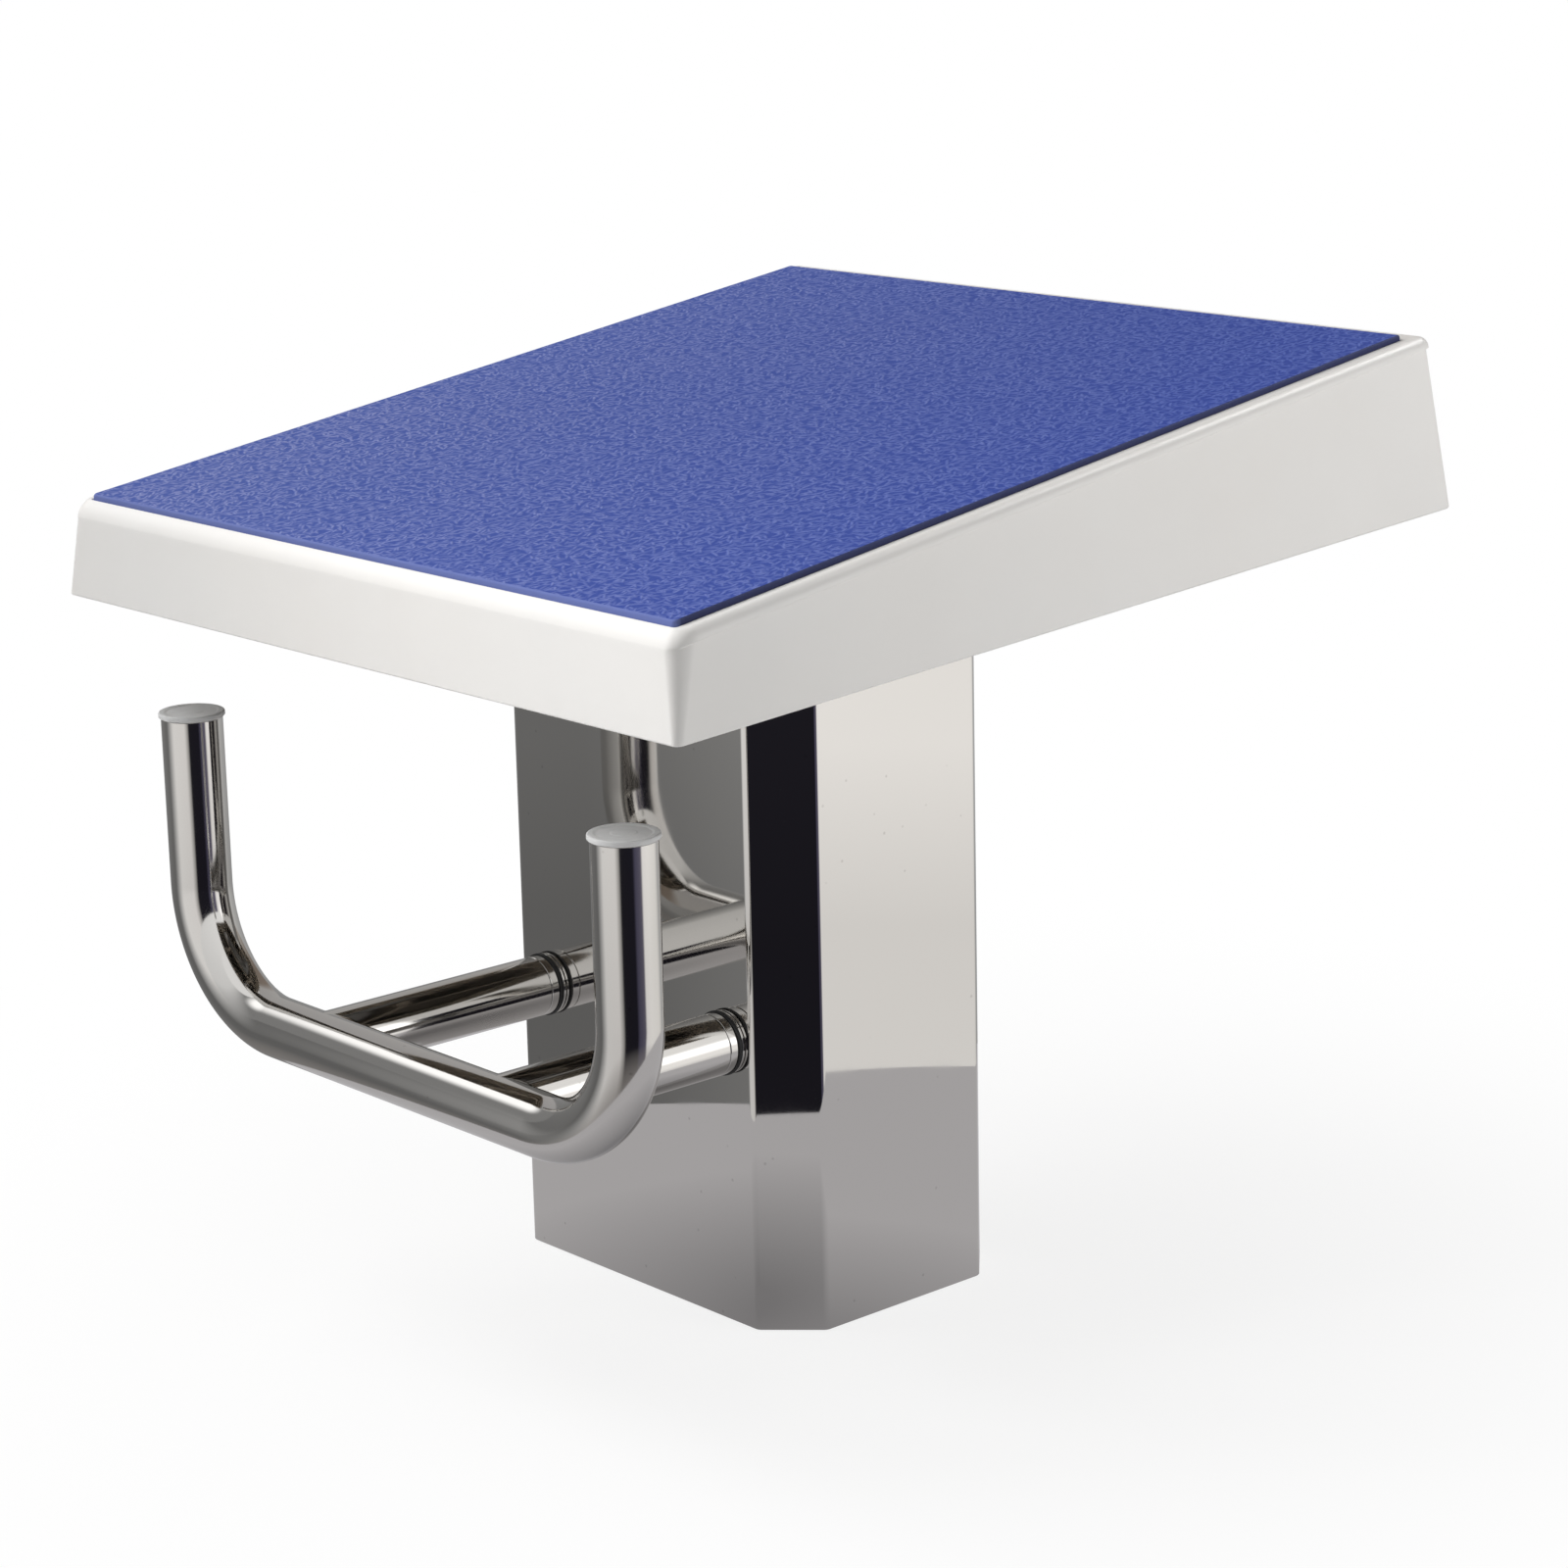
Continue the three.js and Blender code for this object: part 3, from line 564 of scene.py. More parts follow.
seal_rubber = ring_rubber()
for side in ("left", "right"):
    for part, slot, material in (("arm_plug", "polished_steel", arm_steel),
                                 ("seal_ring", "black_rubber", seal_rubber),
                                 ("arm_washer", "polished_steel", arm_steel)):
        low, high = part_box(f"{part}_{side}")
        middle = (low + high) / 2
        radius = (high.x - low.x) / 2
        length = high.y - low.y
        if part == "arm_plug":
            mesh = plug_mesh(length)
        elif part == "seal_ring":
            mesh = rim_disc(SEAL_BORE, radius, length, SEAL_ROUND)
        else:
            mesh = rim_disc(WASHER_BORE, radius, length, WASHER_BREAK)
        place = Matrix.Translation((middle.x, high.y, middle.z)) @ Matrix.Rotation(math.pi / 2, 4, "X")
        show(f"{part}_fine_{side}", moved(mesh, place), [material], slot, f"{part}_{side}")

# Caps. Each upright is closed with an injection-moulded polypropylene cap: a hollow spigot grips the
# bore and a disc a little wider than the tube covers its cut end, dished on top with a raised centre.
CAP_THICKNESS = 3 * MM
CAP_EDGE = 1.1 * MM
CAP_SPIGOT_GAP = 0.3 * MM
CAP_SPIGOT_WALL = 2.2 * MM
CAP_RIM = 3.6 * MM
CAP_DISH = 0.5 * MM
CAP_DISH_ROUND = 0.6 * MM
CAP_DISH_SHARES = (0.3, 0.85) # of the dish's depth, where its round edge goes down
CAP_BOSS = 6.5 * MM
CAP_BOSS_HEIGHT = 0.35 * MM
CAP_GREY = "#C5C5C5"
CAP_PALE = "#D4D4D3"
CAP_CLOUD_SIZE = 6 * MM
CAP_GRAIN = 0.5 * MM
CAP_GRAIN_DEPTH = 0.02 * MM
CAP_ROUGHNESS = 0.5


def cap_mesh(radius, length):
    """Its top lies at z = 0."""
    under = -CAP_THICKNESS
    spigot = tube_radius - TUBE_WALL - CAP_SPIGOT_GAP
    dish = radius - CAP_RIM
    profile = [
        (0, under),
        (spigot - CAP_SPIGOT_WALL, under),
        (spigot - CAP_SPIGOT_WALL, -length),
        (spigot - COLLAR_BREAK, -length),
        (spigot, COLLAR_BREAK - length),
        (spigot, under),
        (radius - COLLAR_BREAK, under),
        (radius, under + COLLAR_BREAK),
        *rounded((radius - CAP_EDGE, -CAP_EDGE), CAP_EDGE, 0),
        (dish + CAP_DISH_ROUND, 0),
        (dish, -CAP_DISH * CAP_DISH_SHARES[0]),
        (dish - CAP_DISH_ROUND, -CAP_DISH * CAP_DISH_SHARES[1]),
        (dish - CAP_DISH_ROUND * 2, -CAP_DISH),
        (CAP_BOSS + CAP_DISH_ROUND, -CAP_DISH),
        (CAP_BOSS, CAP_BOSS_HEIGHT * 0.5 - CAP_DISH),
        (CAP_BOSS - CAP_DISH_ROUND, CAP_BOSS_HEIGHT - CAP_DISH),
        (0, CAP_BOSS_HEIGHT - CAP_DISH),
    ]
    return turned(profile)


def cap_plastic():
    """Grey polypropylene with a fine spark-eroded grain, clouded a little where it has weathered."""
    material, tree, shader, place = begin("grey_moulded_polypropylene")
    fill(tree, shader, {
        "Base Color": blend(tree, blotches(tree, place, CAP_CLOUD_SIZE, 4), CAP_GREY, CAP_PALE),
        "Normal": bump(tree, blotches(tree, place, CAP_GRAIN, 2), CAP_GRAIN_DEPTH),
        "Roughness": CAP_ROUGHNESS,
    })
    return material


grey_plastic = cap_plastic()
for side in ("left", "right"):
    low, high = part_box(f"end_cap_{side}")
    middle = (low + high) / 2
    mesh = cap_mesh((high.x - low.x) / 2, high.z - low.z)
    mesh = moved(mesh, Matrix.Translation((middle.x, middle.y, high.z)))
    show(f"cap_{side}", mesh, [grey_plastic], "grey_plastic", f"end_cap_{side}")

# Platform. Glass fibre and polyester are laid up in a polished mould, so the outside is smooth white
# gelcoat with drafted skirts and rounded edges, and the inside with its ribs is rough laminate.
REAR_CORNER = 6.5 * MM
FRONT_CORNER_TOP = (10 * MM, 14 * MM) # the front corners' reach along X and Y at the top
FRONT_CORNER_FOOT = (4.5 * MM, 5 * MM) # and at the lower edge
SIDE_LEAN_SHARE = 0.052
FRONT_ROUND = (6.6 * MM, 8 * MM) # how far the top edge's rounding reaches inwards and down
SIDE_ROUND = (5.6 * MM, 5.6 * MM)
FRONT_BEVEL_SHARE = 0.45 # in front the rounding is closer to a bevel
CORNER_STEPS = 14
EDGE_STEPS = 10
SKIRT_WALL = 6 * MM
PANEL_THICKNESS = 9 * MM
INNER_ROUND = (3.5 * MM, 3.5 * MM)
INNER_CORNER = 5 * MM
SKIRT_EDGE_BREAK = 0.8 * MM
LIP_HEIGHT = 0.8 * MM # straight part of the edge below its rounding
LIP_STEP = 1.5 * MM # how far the skirt's face lies inside the lip
LIP_DROP = 0.7 * MM
MAT_RECESS = 1 * MM
RECESS_BREAK = 0.4 * MM
RECESS_SIDE = 9.5 * MM
RECESS_FRONT = 7.1 * MM
RECESS_REAR = 13.7 * MM
RECESS_CORNER = 1.8 * MM
RIB_DEPTH = 28 * MM
RIB_ROOT = 13 * MM
RIB_TIP = 8 * MM
SIDE_RIB_MARGIN = 30 * MM
CROSS_RIB_MARGIN = 20 * MM

lower_slope = EDGE_RISE / (platform_high.y - platform_low.y)
top_length = (top_rear_y - top_front_y) / math.cos(top_angle)


def lower_edge(y):
    return platform_low.z + (y - platform_low.y) * lower_slope


def beneath(depth):
    """A plane so deep below the platform's top, square to it, as a height at y."""
    return lambda y: top_front_z + (y - top_front_y) * top_slope - depth / math.cos(top_angle)


def platform_ring(line, level, inset=lambda forward: 0, drop=lambda forward: 0):
    """A rounded rectangle at a level, drawn in with the faces' draft. line gives how far it lies inside
    the outer faces at the sides, front and rear, and how far its rounding reaches at the rear corners
    and, along X and Y, at the front ones. inset and drop may differ between the front, where forward
    is 1, and the sides and rear, where it is 0."""
    line_side, line_front, line_rear, rear_corner, *front_corner = line
    ring = []
    for quarter in range(4):
        at_rear = quarter < 2
        side = 1 if quarter in (0, 3) else -1
        reach_x, reach_y = (rear_corner, rear_corner) if at_rear else front_corner
        half = platform_high.x - line_side - reach_x
        end = platform_high.y - line_rear - reach_y if at_rear else platform_low.y + line_front + reach_y
        height = level(end) - drop(0 if at_rear else 1) - lower_edge(end)
        lean = -REAR_LEAN_SHARE * height if at_rear else FRONT_LEAN_SHARE * height
        side_height = level(end) - drop(0) - lower_edge(end)
        centre_x = side * (half - SIDE_LEAN_SHARE * side_height)
        for step in range(CORNER_STEPS + 1):
            angle = (quarter + step / CORNER_STEPS) * math.pi / 2
            forward = max(0, -math.sin(angle))
            x = centre_x + (reach_x - inset(forward)) * math.cos(angle)
            y = end + lean + (reach_y - inset(forward)) * math.sin(angle)
            ring.append(Vector((x, y, level(y) - drop(forward))))
    return ring


def edge_rounding(line, level, front, side, share):
    """One ring of a rounded top edge, from the face at share 0 to the top at share 1."""
    angle = share * math.pi / 2

    def rest(reaches, value, forward):
        reach = reaches[0] + (reaches[1] - reaches[0]) * forward ** 2
        return reach * (1 - value ** (1 + FRONT_BEVEL_SHARE * forward ** 2))

    return platform_ring(
        line,
        level,
        inset=lambda forward: rest((side[0], front[0]), math.cos(angle), forward),
        drop=lambda forward: rest((side[1], front[1]), math.sin(angle), forward),
    )


def grown(line, by):
    return (*(margin - by for margin in line[:3]), *(max(MM, reach + by) for reach in line[3:]))


def shell_mesh():
    outer = (0, 0, 0, REAR_CORNER, *FRONT_CORNER_TOP)
    foot = (0, 0, 0, REAR_CORNER, *FRONT_CORNER_FOOT)
    inner = (SKIRT_WALL,) * 3 + (INNER_CORNER,) * 3
    recess = (RECESS_SIDE, RECESS_FRONT, RECESS_REAR) + (RECESS_CORNER,) * 3
    under = beneath(PANEL_THICKNESS)
    top = beneath(0)

    def lip_foot(forward):
        return SIDE_ROUND[1] + (FRONT_ROUND[1] - SIDE_ROUND[1]) * forward ** 2 + LIP_HEIGHT

    inside = [edge_rounding(inner, under, INNER_ROUND, INNER_ROUND, 1 - step / EDGE_STEPS)
              for step in range(EDGE_STEPS + 1)]
    inside.append(platform_ring(grown(foot, SKIRT_EDGE_BREAK - SKIRT_WALL), lower_edge))
    outside = [
        platform_ring(grown(foot, -SKIRT_EDGE_BREAK), lower_edge),
        platform_ring(foot, lambda y: lower_edge(y) + SKIRT_EDGE_BREAK),
        platform_ring(outer, top, lambda f: LIP_STEP * (1 - f), lambda f: lip_foot(f) + LIP_DROP),
        platform_ring(outer, top, drop=lip_foot),
    ]
    for step in range(EDGE_STEPS + 1):
        outside.append(edge_rounding(outer, top, FRONT_ROUND, SIDE_ROUND, step / EDGE_STEPS))
    outside += [
        platform_ring(grown(recess, RECESS_BREAK), top),
        platform_ring(recess, beneath(RECESS_BREAK)),
        platform_ring(recess, beneath(MAT_RECESS)),
    ]
    shades = [1] * len(inside) + [0] * (len(outside) - 1)
    return skin(inside + outside, shades=shades)


def rib_mesh(length, turn, place):
    """A rib along Y of the sloping frame, turned and placed, with a narrower tip so it leaves the mould."""
    rings = []
    tip, root = RIB_TIP / 2, RIB_ROOT / 2
    for y in (-length / 2, length / 2):
        section = [(-tip, -RIB_DEPTH), (tip, -RIB_DEPTH), (root, 0), (-root, 0)]
        rings.append([Vector((x, y, z - PANEL_THICKNESS / 2)) for x, z in section])
    return moved(skin(rings), Matrix.Translation(place) @ Matrix.Rotation(turn, 4, "Z"))


def ribs_mesh():
    """Two long ribs and two cross ribs frame the flange, and short ones run on to the skirts."""
    flange_low, flange_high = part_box("top_flange")
    flange_half = (flange_high.y - flange_low.y) / 2 / math.cos(top_angle)
    flange_middle = (flange_low + flange_high) / 2
    to_slope = slope_frame.inverted()
    centre_y = (to_slope @ flange_middle).y
    side_x = flange_high.x + SIDE_RIB_MARGIN
    reach = flange_half + CROSS_RIB_MARGIN
    half_wall = SKIRT_WALL / 2
    width = (platform_high.x - half_wall) * 2 - SIDE_LEAN_SHARE * (REAR_SKIRT + FRONT_SKIRT)
    front, rear = half_wall, top_length - half_wall
    across = math.pi / 2
    ribs = [
        rib_mesh(centre_y - reach - front, 0, (0, (front + centre_y - reach) / 2, 0)),
        rib_mesh(rear - centre_y - reach, 0, (0, (rear + centre_y + reach) / 2, 0)),
    ]
    for side in (-1, 1):
        stub = width / 2 - side_x
        ribs += [
            rib_mesh(rear - front, 0, (side * side_x, (front + rear) / 2, 0)),
            rib_mesh(width, across, (0, centre_y + side * reach, 0)),
            rib_mesh(stub, across, (side * (side_x + stub / 2), centre_y, 0)),
        ]
    mesh = moved(merged(ribs), slope_frame)
    mesh.polygons.foreach_set("material_index", [1] * len(mesh.polygons))
    return mesh


slope_frame = Matrix.Translation((0, top_front_y, top_front_z)) @ Matrix.Rotation(top_angle, 4, "X")

# Gelcoat, a pigmented polyester as smooth as its mould. It gives a soft gloss with a slight ripple, and
# the fibre below shows through as faint warm and cool clouds.
GELCOAT = "#E6E4E1"
GELCOAT_WARM = "#E3DED8"
GELCOAT_COOL = "#DFE0E0"
GELCOAT_ROUGHNESS = (0.29, 0.38)
GELCOAT_IOR = 1.5
CLOUD_SIZE = 60 * MM
TINT_SIZE = 150 * MM
RIPPLE_SIZE = 14 * MM
RIPPLE_HEIGHT = 0.012 * MM
LAMINATE = "#958A7B"
LAMINATE_FIBRE = "#82776A"
LAMINATE_ROUGHNESS = 0.6
FIBRE_TURNS = (0.3, 1.4, 2.5) # in radians, one for each layer
FIBRE_WIDTH = 1.4 * MM
FIBRE_LENGTH = 30 * MM
FIBRE_HEIGHT = 0.35 * MM
FIBRE_SHARES = (0.5, 0.75) # how much of the noise is resin alone, and all fibre
FIBRE_STRENGTH_SHARE = 0.6


def gelcoat_material():
    material, tree, shader, place = begin("white_polyester_gelcoat")
    clouds = blotches(tree, place, CLOUD_SIZE, 3)
    tint = blend(tree, blotches(tree, place, TINT_SIZE, 2), GELCOAT_WARM, GELCOAT_COOL)
    fill(tree, shader, {
        "Base Color": blend(tree, clouds, GELCOAT, tint),
        "Roughness": remap(tree, clouds, (0, 1), GELCOAT_ROUGHNESS),
        "Normal": bump(tree, blotches(tree, place, RIPPLE_SIZE, 1), RIPPLE_HEIGHT),
        "IOR": GELCOAT_IOR,
    })
    return material


def laminate_material():
    """The open side of the lay-up: chopped strands of glass under a rough coat of resin."""
    material, tree, shader, place = begin("open_chopped_strand_laminate")
    layers = []
    for turn in FIBRE_TURNS:
        turned_place = add(tree, "ShaderNodeMapping", {"Vector": place, "Rotation": (0, 0, turn)})
        sizes = (FIBRE_LENGTH, FIBRE_WIDTH, FIBRE_LENGTH)
        layers.append(stretched(tree, turned_place.outputs[0], sizes, 2))
    strands = layers[0]
    for layer in layers[1:]:
        strands = reckon(tree, "MAXIMUM", strands, layer)
    share = remap(tree, strands, FIBRE_SHARES)
    fill(tree, shader, {
        "Base Color": blend(tree, share, LAMINATE, LAMINATE_FIBRE),
        "Normal": bump(tree, share, FIBRE_HEIGHT, Strength=FIBRE_STRENGTH_SHARE),
        "Roughness": LAMINATE_ROUGHNESS,
    })
    return material


gelcoat = gelcoat_material()
platform = combine(shell_mesh(), ribs_mesh(), "UNION")
show("platform_moulding", platform, [gelcoat, laminate_material()], "gelcoat", "platform_shell")

# Mat. A sheet of blue rubber is cut by hand, bonded in the shallow recess and trimmed along its top
# edge. Its face is pressed with a fine wandering grain that holds a wet foot.
MAT_THICKNESS = 3.6 * MM
MAT_FLOAT = 0.3 * MM
MAT_SIDE = 9.8 * MM
MAT_FRONT = 7.4 * MM
MAT_REAR = 14 * MM
MAT_CORNER = 1.5 * MM
MAT_FRONT_CORNER = 3 * MM
MAT_ROUND = 1.2 * MM
MAT_ROUND_STEPS = 5
MAT_CUT_RINGS = 5 # rows of faces from below that show the cut, not the grain
CUT_STEP = 9 * MM
CUT_WANDER = 0.45 * MM
CUT_WANDER_SIZE = 40 * MM
CUT_SWELL = 4 / 3 # how soon the wandering grows from none at the corners
MAT_BLUE = "#455897"
MAT_RIDGE = "#737FB5"
MAT_VALLEY = "#2B408B"
MAT_WORN = "#8388B3"
MAT_UNWORN = "#B6CDF7" # dims the colours above towards the rear right: painted sheen, with some wear
WHITE = "#FFFFFF"
# The cut's colours: darker than the face, partly its own tone and partly painted shade; paler in front,
# partly wear and partly painted light.
MAT_CUT = "#0F1846"
MAT_CUT_PALE = "#182458"
MAT_CUT_WORN = "#5F6CA6" # in front: painted light where the lamps fall on it, with some wear where toes grip it
CUT_WORN_RUN = (4 * MM, 1 * MM) # from the mat's front line, where the painted light and wear start and are full
GRAIN_SPACING = 5.5 * MM
GRAIN_LENGTH = 8.5 * MM
GRAIN_WIDTH = 2.1 * MM
GRAIN_HEIGHT = 0.4 * MM
GRAIN_CORE_SHARE = 0.3
GRAIN_STRENGTH_SHARES = (0.35, 1)
GRAIN_BUMP_SHARE = 0.5
GRAIN_SHIFTS = (0, 3.5, 7.7) # in cells, how far each layer of strokes is moved
SPECK_SIZE = 1.6 * MM
CUT_DEPTH = 0.1 * MM
CUT_ROUGHNESS = 0.7
MAT_ROUGHNESS = 0.66
MAT_SPECULAR = 0.22
WEAR_SIZE = 150 * MM
WEAR_SLOPE = (-1.6, -0.9, 0) # painted sheen, with some wear: palest at the front left, dimmest at the rear right
WEAR_RUN = (-0.5, 0.5)


def hand_cut(ring, foot):
    """Breaks a ring's long sides into short cuts that wander a little inwards, as a knife does. The
    lowest ring, foot, gives how many."""
    points = []
    for i, point in enumerate(ring):
        following = ring[(i + 1) % len(ring)]
        steps = max(1, round((foot[(i + 1) % len(ring)] - foot[i]).length / CUT_STEP))
        inward = (following - point).cross(Vector((0, 0, 1))).normalized() * -1
        for step in range(steps):
            share = step / steps
            place = point.lerp(following, share)
            swell = min(1, CUT_SWELL * share * (1 - share) * steps)
            wander = (noise.noise(place / CUT_WANDER_SIZE) * 0.5 + 0.5) * CUT_WANDER * swell
            points.append(place + inward * wander)
    return points


def mat_mesh():
    line = (MAT_SIDE, MAT_FRONT, MAT_REAR, MAT_CORNER, MAT_FRONT_CORNER, MAT_FRONT_CORNER)
    underside = MAT_RECESS - MAT_FLOAT
    top = underside - MAT_THICKNESS
    rings = [platform_ring(line, beneath(underside))]
    for step in range(MAT_ROUND_STEPS + 1):
        angle = step / MAT_ROUND_STEPS * math.pi / 2
        inset = MAT_ROUND * (1 - math.cos(angle))
        rise = MAT_ROUND * math.sin(angle)
        rings.append(platform_ring(grown(line, -inset), beneath(top + MAT_ROUND - rise)))
    shades = [1] * MAT_CUT_RINGS + [0] * (MAT_ROUND_STEPS + 1 - MAT_CUT_RINGS)
    return skin([hand_cut(ring, rings[0]) for ring in rings], shades=shades)


def grain_strokes(tree, place, shift):
    """One short stroke in each cell of a pattern, each turned its own way."""
    shifted = add(tree, "ShaderNodeMapping", {"Vector": place, "Location": (shift, shift, 0)}).outputs[0]
    cells = add(tree, "ShaderNodeTexVoronoi", {
        "Vector": shifted,
        "Scale": 1 / GRAIN_SPACING,
    }, voronoi_dimensions="2D").outputs
    flat = reckon_vector(tree, "MULTIPLY", shifted, (1, 1, 0))
    within = reckon_vector(tree, "SUBTRACT", flat, cells["Position"])
    dice = add(tree, "ShaderNodeSeparateXYZ", {0: cells["Color"]}).outputs
    turned_place = add(tree, "ShaderNodeVectorRotate", {
        "Vector": within,
        "Angle": reckon(tree, "MULTIPLY", dice["X"], 2 * math.pi),
    }, rotation_type="Z_AXIS").outputs[0]
    scaled = reckon_vector(tree, "MULTIPLY", turned_place, (2 / GRAIN_LENGTH, 2 / GRAIN_WIDTH, 0))
    stroke = remap(tree, distance_from(tree, scaled, (0, 0, 0)), (1, GRAIN_CORE_SHARE))
    strength = remap(tree, dice["Y"], (0, 1), GRAIN_STRENGTH_SHARES)
    return reckon(tree, "MULTIPLY", stroke, strength)


def mat_rubber():
    """Pressed rubber with paler ridges in its grain, and a painted sheen, with some wear, that is palest at
    the front left.
    """
    material, tree, shader, place = begin("blue_pressed_rubber")
    layers = [grain_strokes(tree, place, cells * GRAIN_SPACING) for cells in GRAIN_SHIFTS]
    ridges = layers[0]
    for layer in layers[1:]:
        ridges = reckon(tree, "MAXIMUM", ridges, layer)
    ground = blend(tree, blotches(tree, place, SPECK_SIZE, 3), MAT_VALLEY, MAT_BLUE)
    crest = blend(tree, blotches(tree, place, WEAR_SIZE, 3), MAT_RIDGE, MAT_WORN)
    # Painted sheen, with some wear: the colours are palest towards the front left and dimmer towards the
    # rear right.
    steps = add(tree, "ShaderNodeVectorMath", {0: place, 1: WEAR_SLOPE}, operation="DOT_PRODUCT")
    rubbed = remap(tree, steps.outputs["Value"], WEAR_RUN)
    used = add(tree, "ShaderNodeMix", {
        0: 1,
        6: blend(tree, ridges, ground, crest),
        7: blend(tree, rubbed, MAT_UNWORN, WHITE),
    }, data_type="RGBA", blend_type="MULTIPLY")
    fill(tree, shader, {
        "Base Color": used.outputs[2],
        "Normal": bump(tree, ridges, GRAIN_HEIGHT, Strength=GRAIN_BUMP_SHARE),
        "Roughness": MAT_ROUGHNESS,
        "Specular IOR Level": MAT_SPECULAR,
    })
    return material


def cut_rubber():
    """The knife's cut round the mat, with fine drag marks: darker than its face, partly painted shade, and
    paler in front, partly painted light and partly wear.
    """
    material, tree, shader, place = begin("cut_edge_of_blue_rubber")
    marks = blotches(tree, place, SPECK_SIZE, 2)
    parts = add(tree, "ShaderNodeSeparateXYZ", {0: place})
    # Painted light, with some wear, makes the cut paler along the front.
    gripped = remap(tree, parts.outputs["Y"], [top_front_y + MAT_FRONT + reach for reach in CUT_WORN_RUN])
    fill(tree, shader, {
        "Base Color": blend(tree, gripped, blend(tree, marks, MAT_CUT, MAT_CUT_PALE), MAT_CUT_WORN),
        "Normal": bump(tree, marks, CUT_DEPTH),
        "Roughness": CUT_ROUGHNESS,
    })
    return material


show("grip_mat", mat_mesh(), [mat_rubber(), cut_rubber()], "mat_rubber", "antislip_mat")

# Studio. The block stands on a pale floor that runs out to white, in soft light from three lamps and a
# white sky. What only the polished steel shows is a plinth's grey top under the block, darker and paler
# walls far round it with a slope on top, and three bright lamp covers.
FLOOR_SIZE = 16
FLOOR_DROP = 0.4 * MM
FLOOR_WHITE = "#FAFAFA"
FLOOR_ROUGHNESS = 0.8
FLOOR_FADE = (0.2, 0.75) # metres from the block, where the floor runs out to white
FLOOR_GLOW = 0.8 # how much of that white the floor has close to the block
PLINTH_RADIUS = 0.432
PLINTH_PLACE = (0.086, 0.005)
PLINTH_SHADE_PLACE = (0.11, -0.13, 0) # by the column's front corner
PLINTH_SHADE = (0.03, 0.24) # metres from there, where the plinth's top is darkest and palest
PLINTH_TONES = ((0.26, 0.255, 0.265), (0.55, 0.54, 0.555))
WALL_RADIUS = 2.6
WALL_FOOT = -1.0
WALL_TOP = 0.75
WALL_SIDES = 180
WALL_BRIGHTNESS = ((-0.52, -0.3), (0.86, 1.05)) # two heights, and how bright it is there
CEILING_RADIUS = 1.7
CEILING_HEIGHT = 2.5
GROUND_TONE = (0.33, 0.31, 0.3)
GROUND_FADE = (2.6, 1.0) # metres from the middle, from the wall's tone to its own
# Turn from the pool side towards +X, in degrees, with the wall's brightness there
WALL_TONES = [
    (-180, (0.55, 0.55, 0.55)),
    (-150, (0.42, 0.42, 0.42)),
    (-115, (0.25, 0.25, 0.25)),
    (-50, (0.18, 0.18, 0.18)),
    (-38, (0.45, 0.45, 0.45)),
    (-22, (0.9, 0.89, 0.88)),
    (20, (0.88, 0.86, 0.85)),
    (31, (0.4, 0.39, 0.38)),
    (36, (0.015, 0.014, 0.019)),
    (72, (0.014, 0.013, 0.02)),
    (79, (0.08, 0.075, 0.12)),
    (98, (0.14, 0.13, 0.18)),
    (104, (1.05, 1.03, 1.02)),
    (122, (1.12, 1.1, 1.08)),
    (160, (1.05, 1.03, 1.0)),
    (180, (0.55, 0.55, 0.55)),
]
# The same for the slope between the wall's top and the open sky over the block
SLOPE_TONES = [
    (-180, (0.4, 0.37, 0.34)),
    (-155, (0.22, 0.18, 0.15)),
    (-138, (0.24, 0.2, 0.17)),
    (-128, (0.44, 0.43, 0.42)),
    (-92, (0.42, 0.41, 0.41)),
    (-84, (0.26, 0.26, 0.26)),
    (-48, (0.26, 0.26, 0.26)),
    (-20, (0.8, 0.8, 0.8)),
    (100, (1.0, 1.0, 1.0)),
    (160, (1.05, 1.03, 1.0)),
    (180, (0.4, 0.37, 0.34)),
]


def stage_object(name, mesh, material, only_in_steel):
    item = bpy.data.objects.new(name, mesh)
    bpy.context.scene.collection.objects.link(item)
    mesh.materials.append(material)
    if only_in_steel:
        item.visible_camera = False
        item.visible_diffuse = False
        item.visible_shadow = False
        item.visible_transmission = False
    return item


def seen_directly(tree):
    """1 for what the camera, polished metal or glass looks at, and 0 for what only lights the block."""
    path = add(tree, "ShaderNodeLightPath").outputs
    shiny = reckon(tree, "MAXIMUM", path["Is Glossy Ray"], path["Is Transmission Ray"])
    return reckon(tree, "MAXIMUM", path["Is Camera Ray"], shiny)


def floor_material():
    material, tree, shader, place = begin("pale_studio_floor")
    fill(tree, shader, {
        "Base Color": colour(FLOOR_WHITE),
        "Roughness": FLOOR_ROUGHNESS,
        "Specular IOR Level": 0,
    })
    distance = distance_from(tree, place, (0, 0, 0))
    fade = remap(tree, distance, FLOOR_FADE, (FLOOR_GLOW, 1), interpolation_type="SMOOTHSTEP")
    white = add(tree, "ShaderNodeEmission", {"Strength": 1})
    both = add(tree, "ShaderNodeMixShader", {
        0: reckon(tree, "MULTIPLY", fade, seen_directly(tree)),
        1: shader.outputs[0],
        2: white.outputs[0],
    })
    tree.links.new(both.outputs[0], tree.nodes["Material Output"].inputs["Surface"])
    return material


def glowing(name):
    """A material that holds only a glow, for what the steel alone shows."""
    material, tree, shader, place = begin(name)
    tree.nodes.remove(shader)
    glow = add(tree, "ShaderNodeEmission", {"Strength": 1})
    tree.links.new(glow.outputs[0], tree.nodes["Material Output"].inputs["Surface"])
    return material, tree, glow, place


def plinth_material():
    """The plinth's top, in the block's own shade close by and paler further out."""
    material, tree, glow, place = glowing("grey_plinth_top")
    share = remap(tree, distance_from(tree, place, PLINTH_SHADE_PLACE), PLINTH_SHADE)
    shaded, open_tone = ((*tone, 1) for tone in PLINTH_TONES)
    tree.links.new(blend(tree, share, shaded, open_tone), glow.inputs["Color"])
    return material


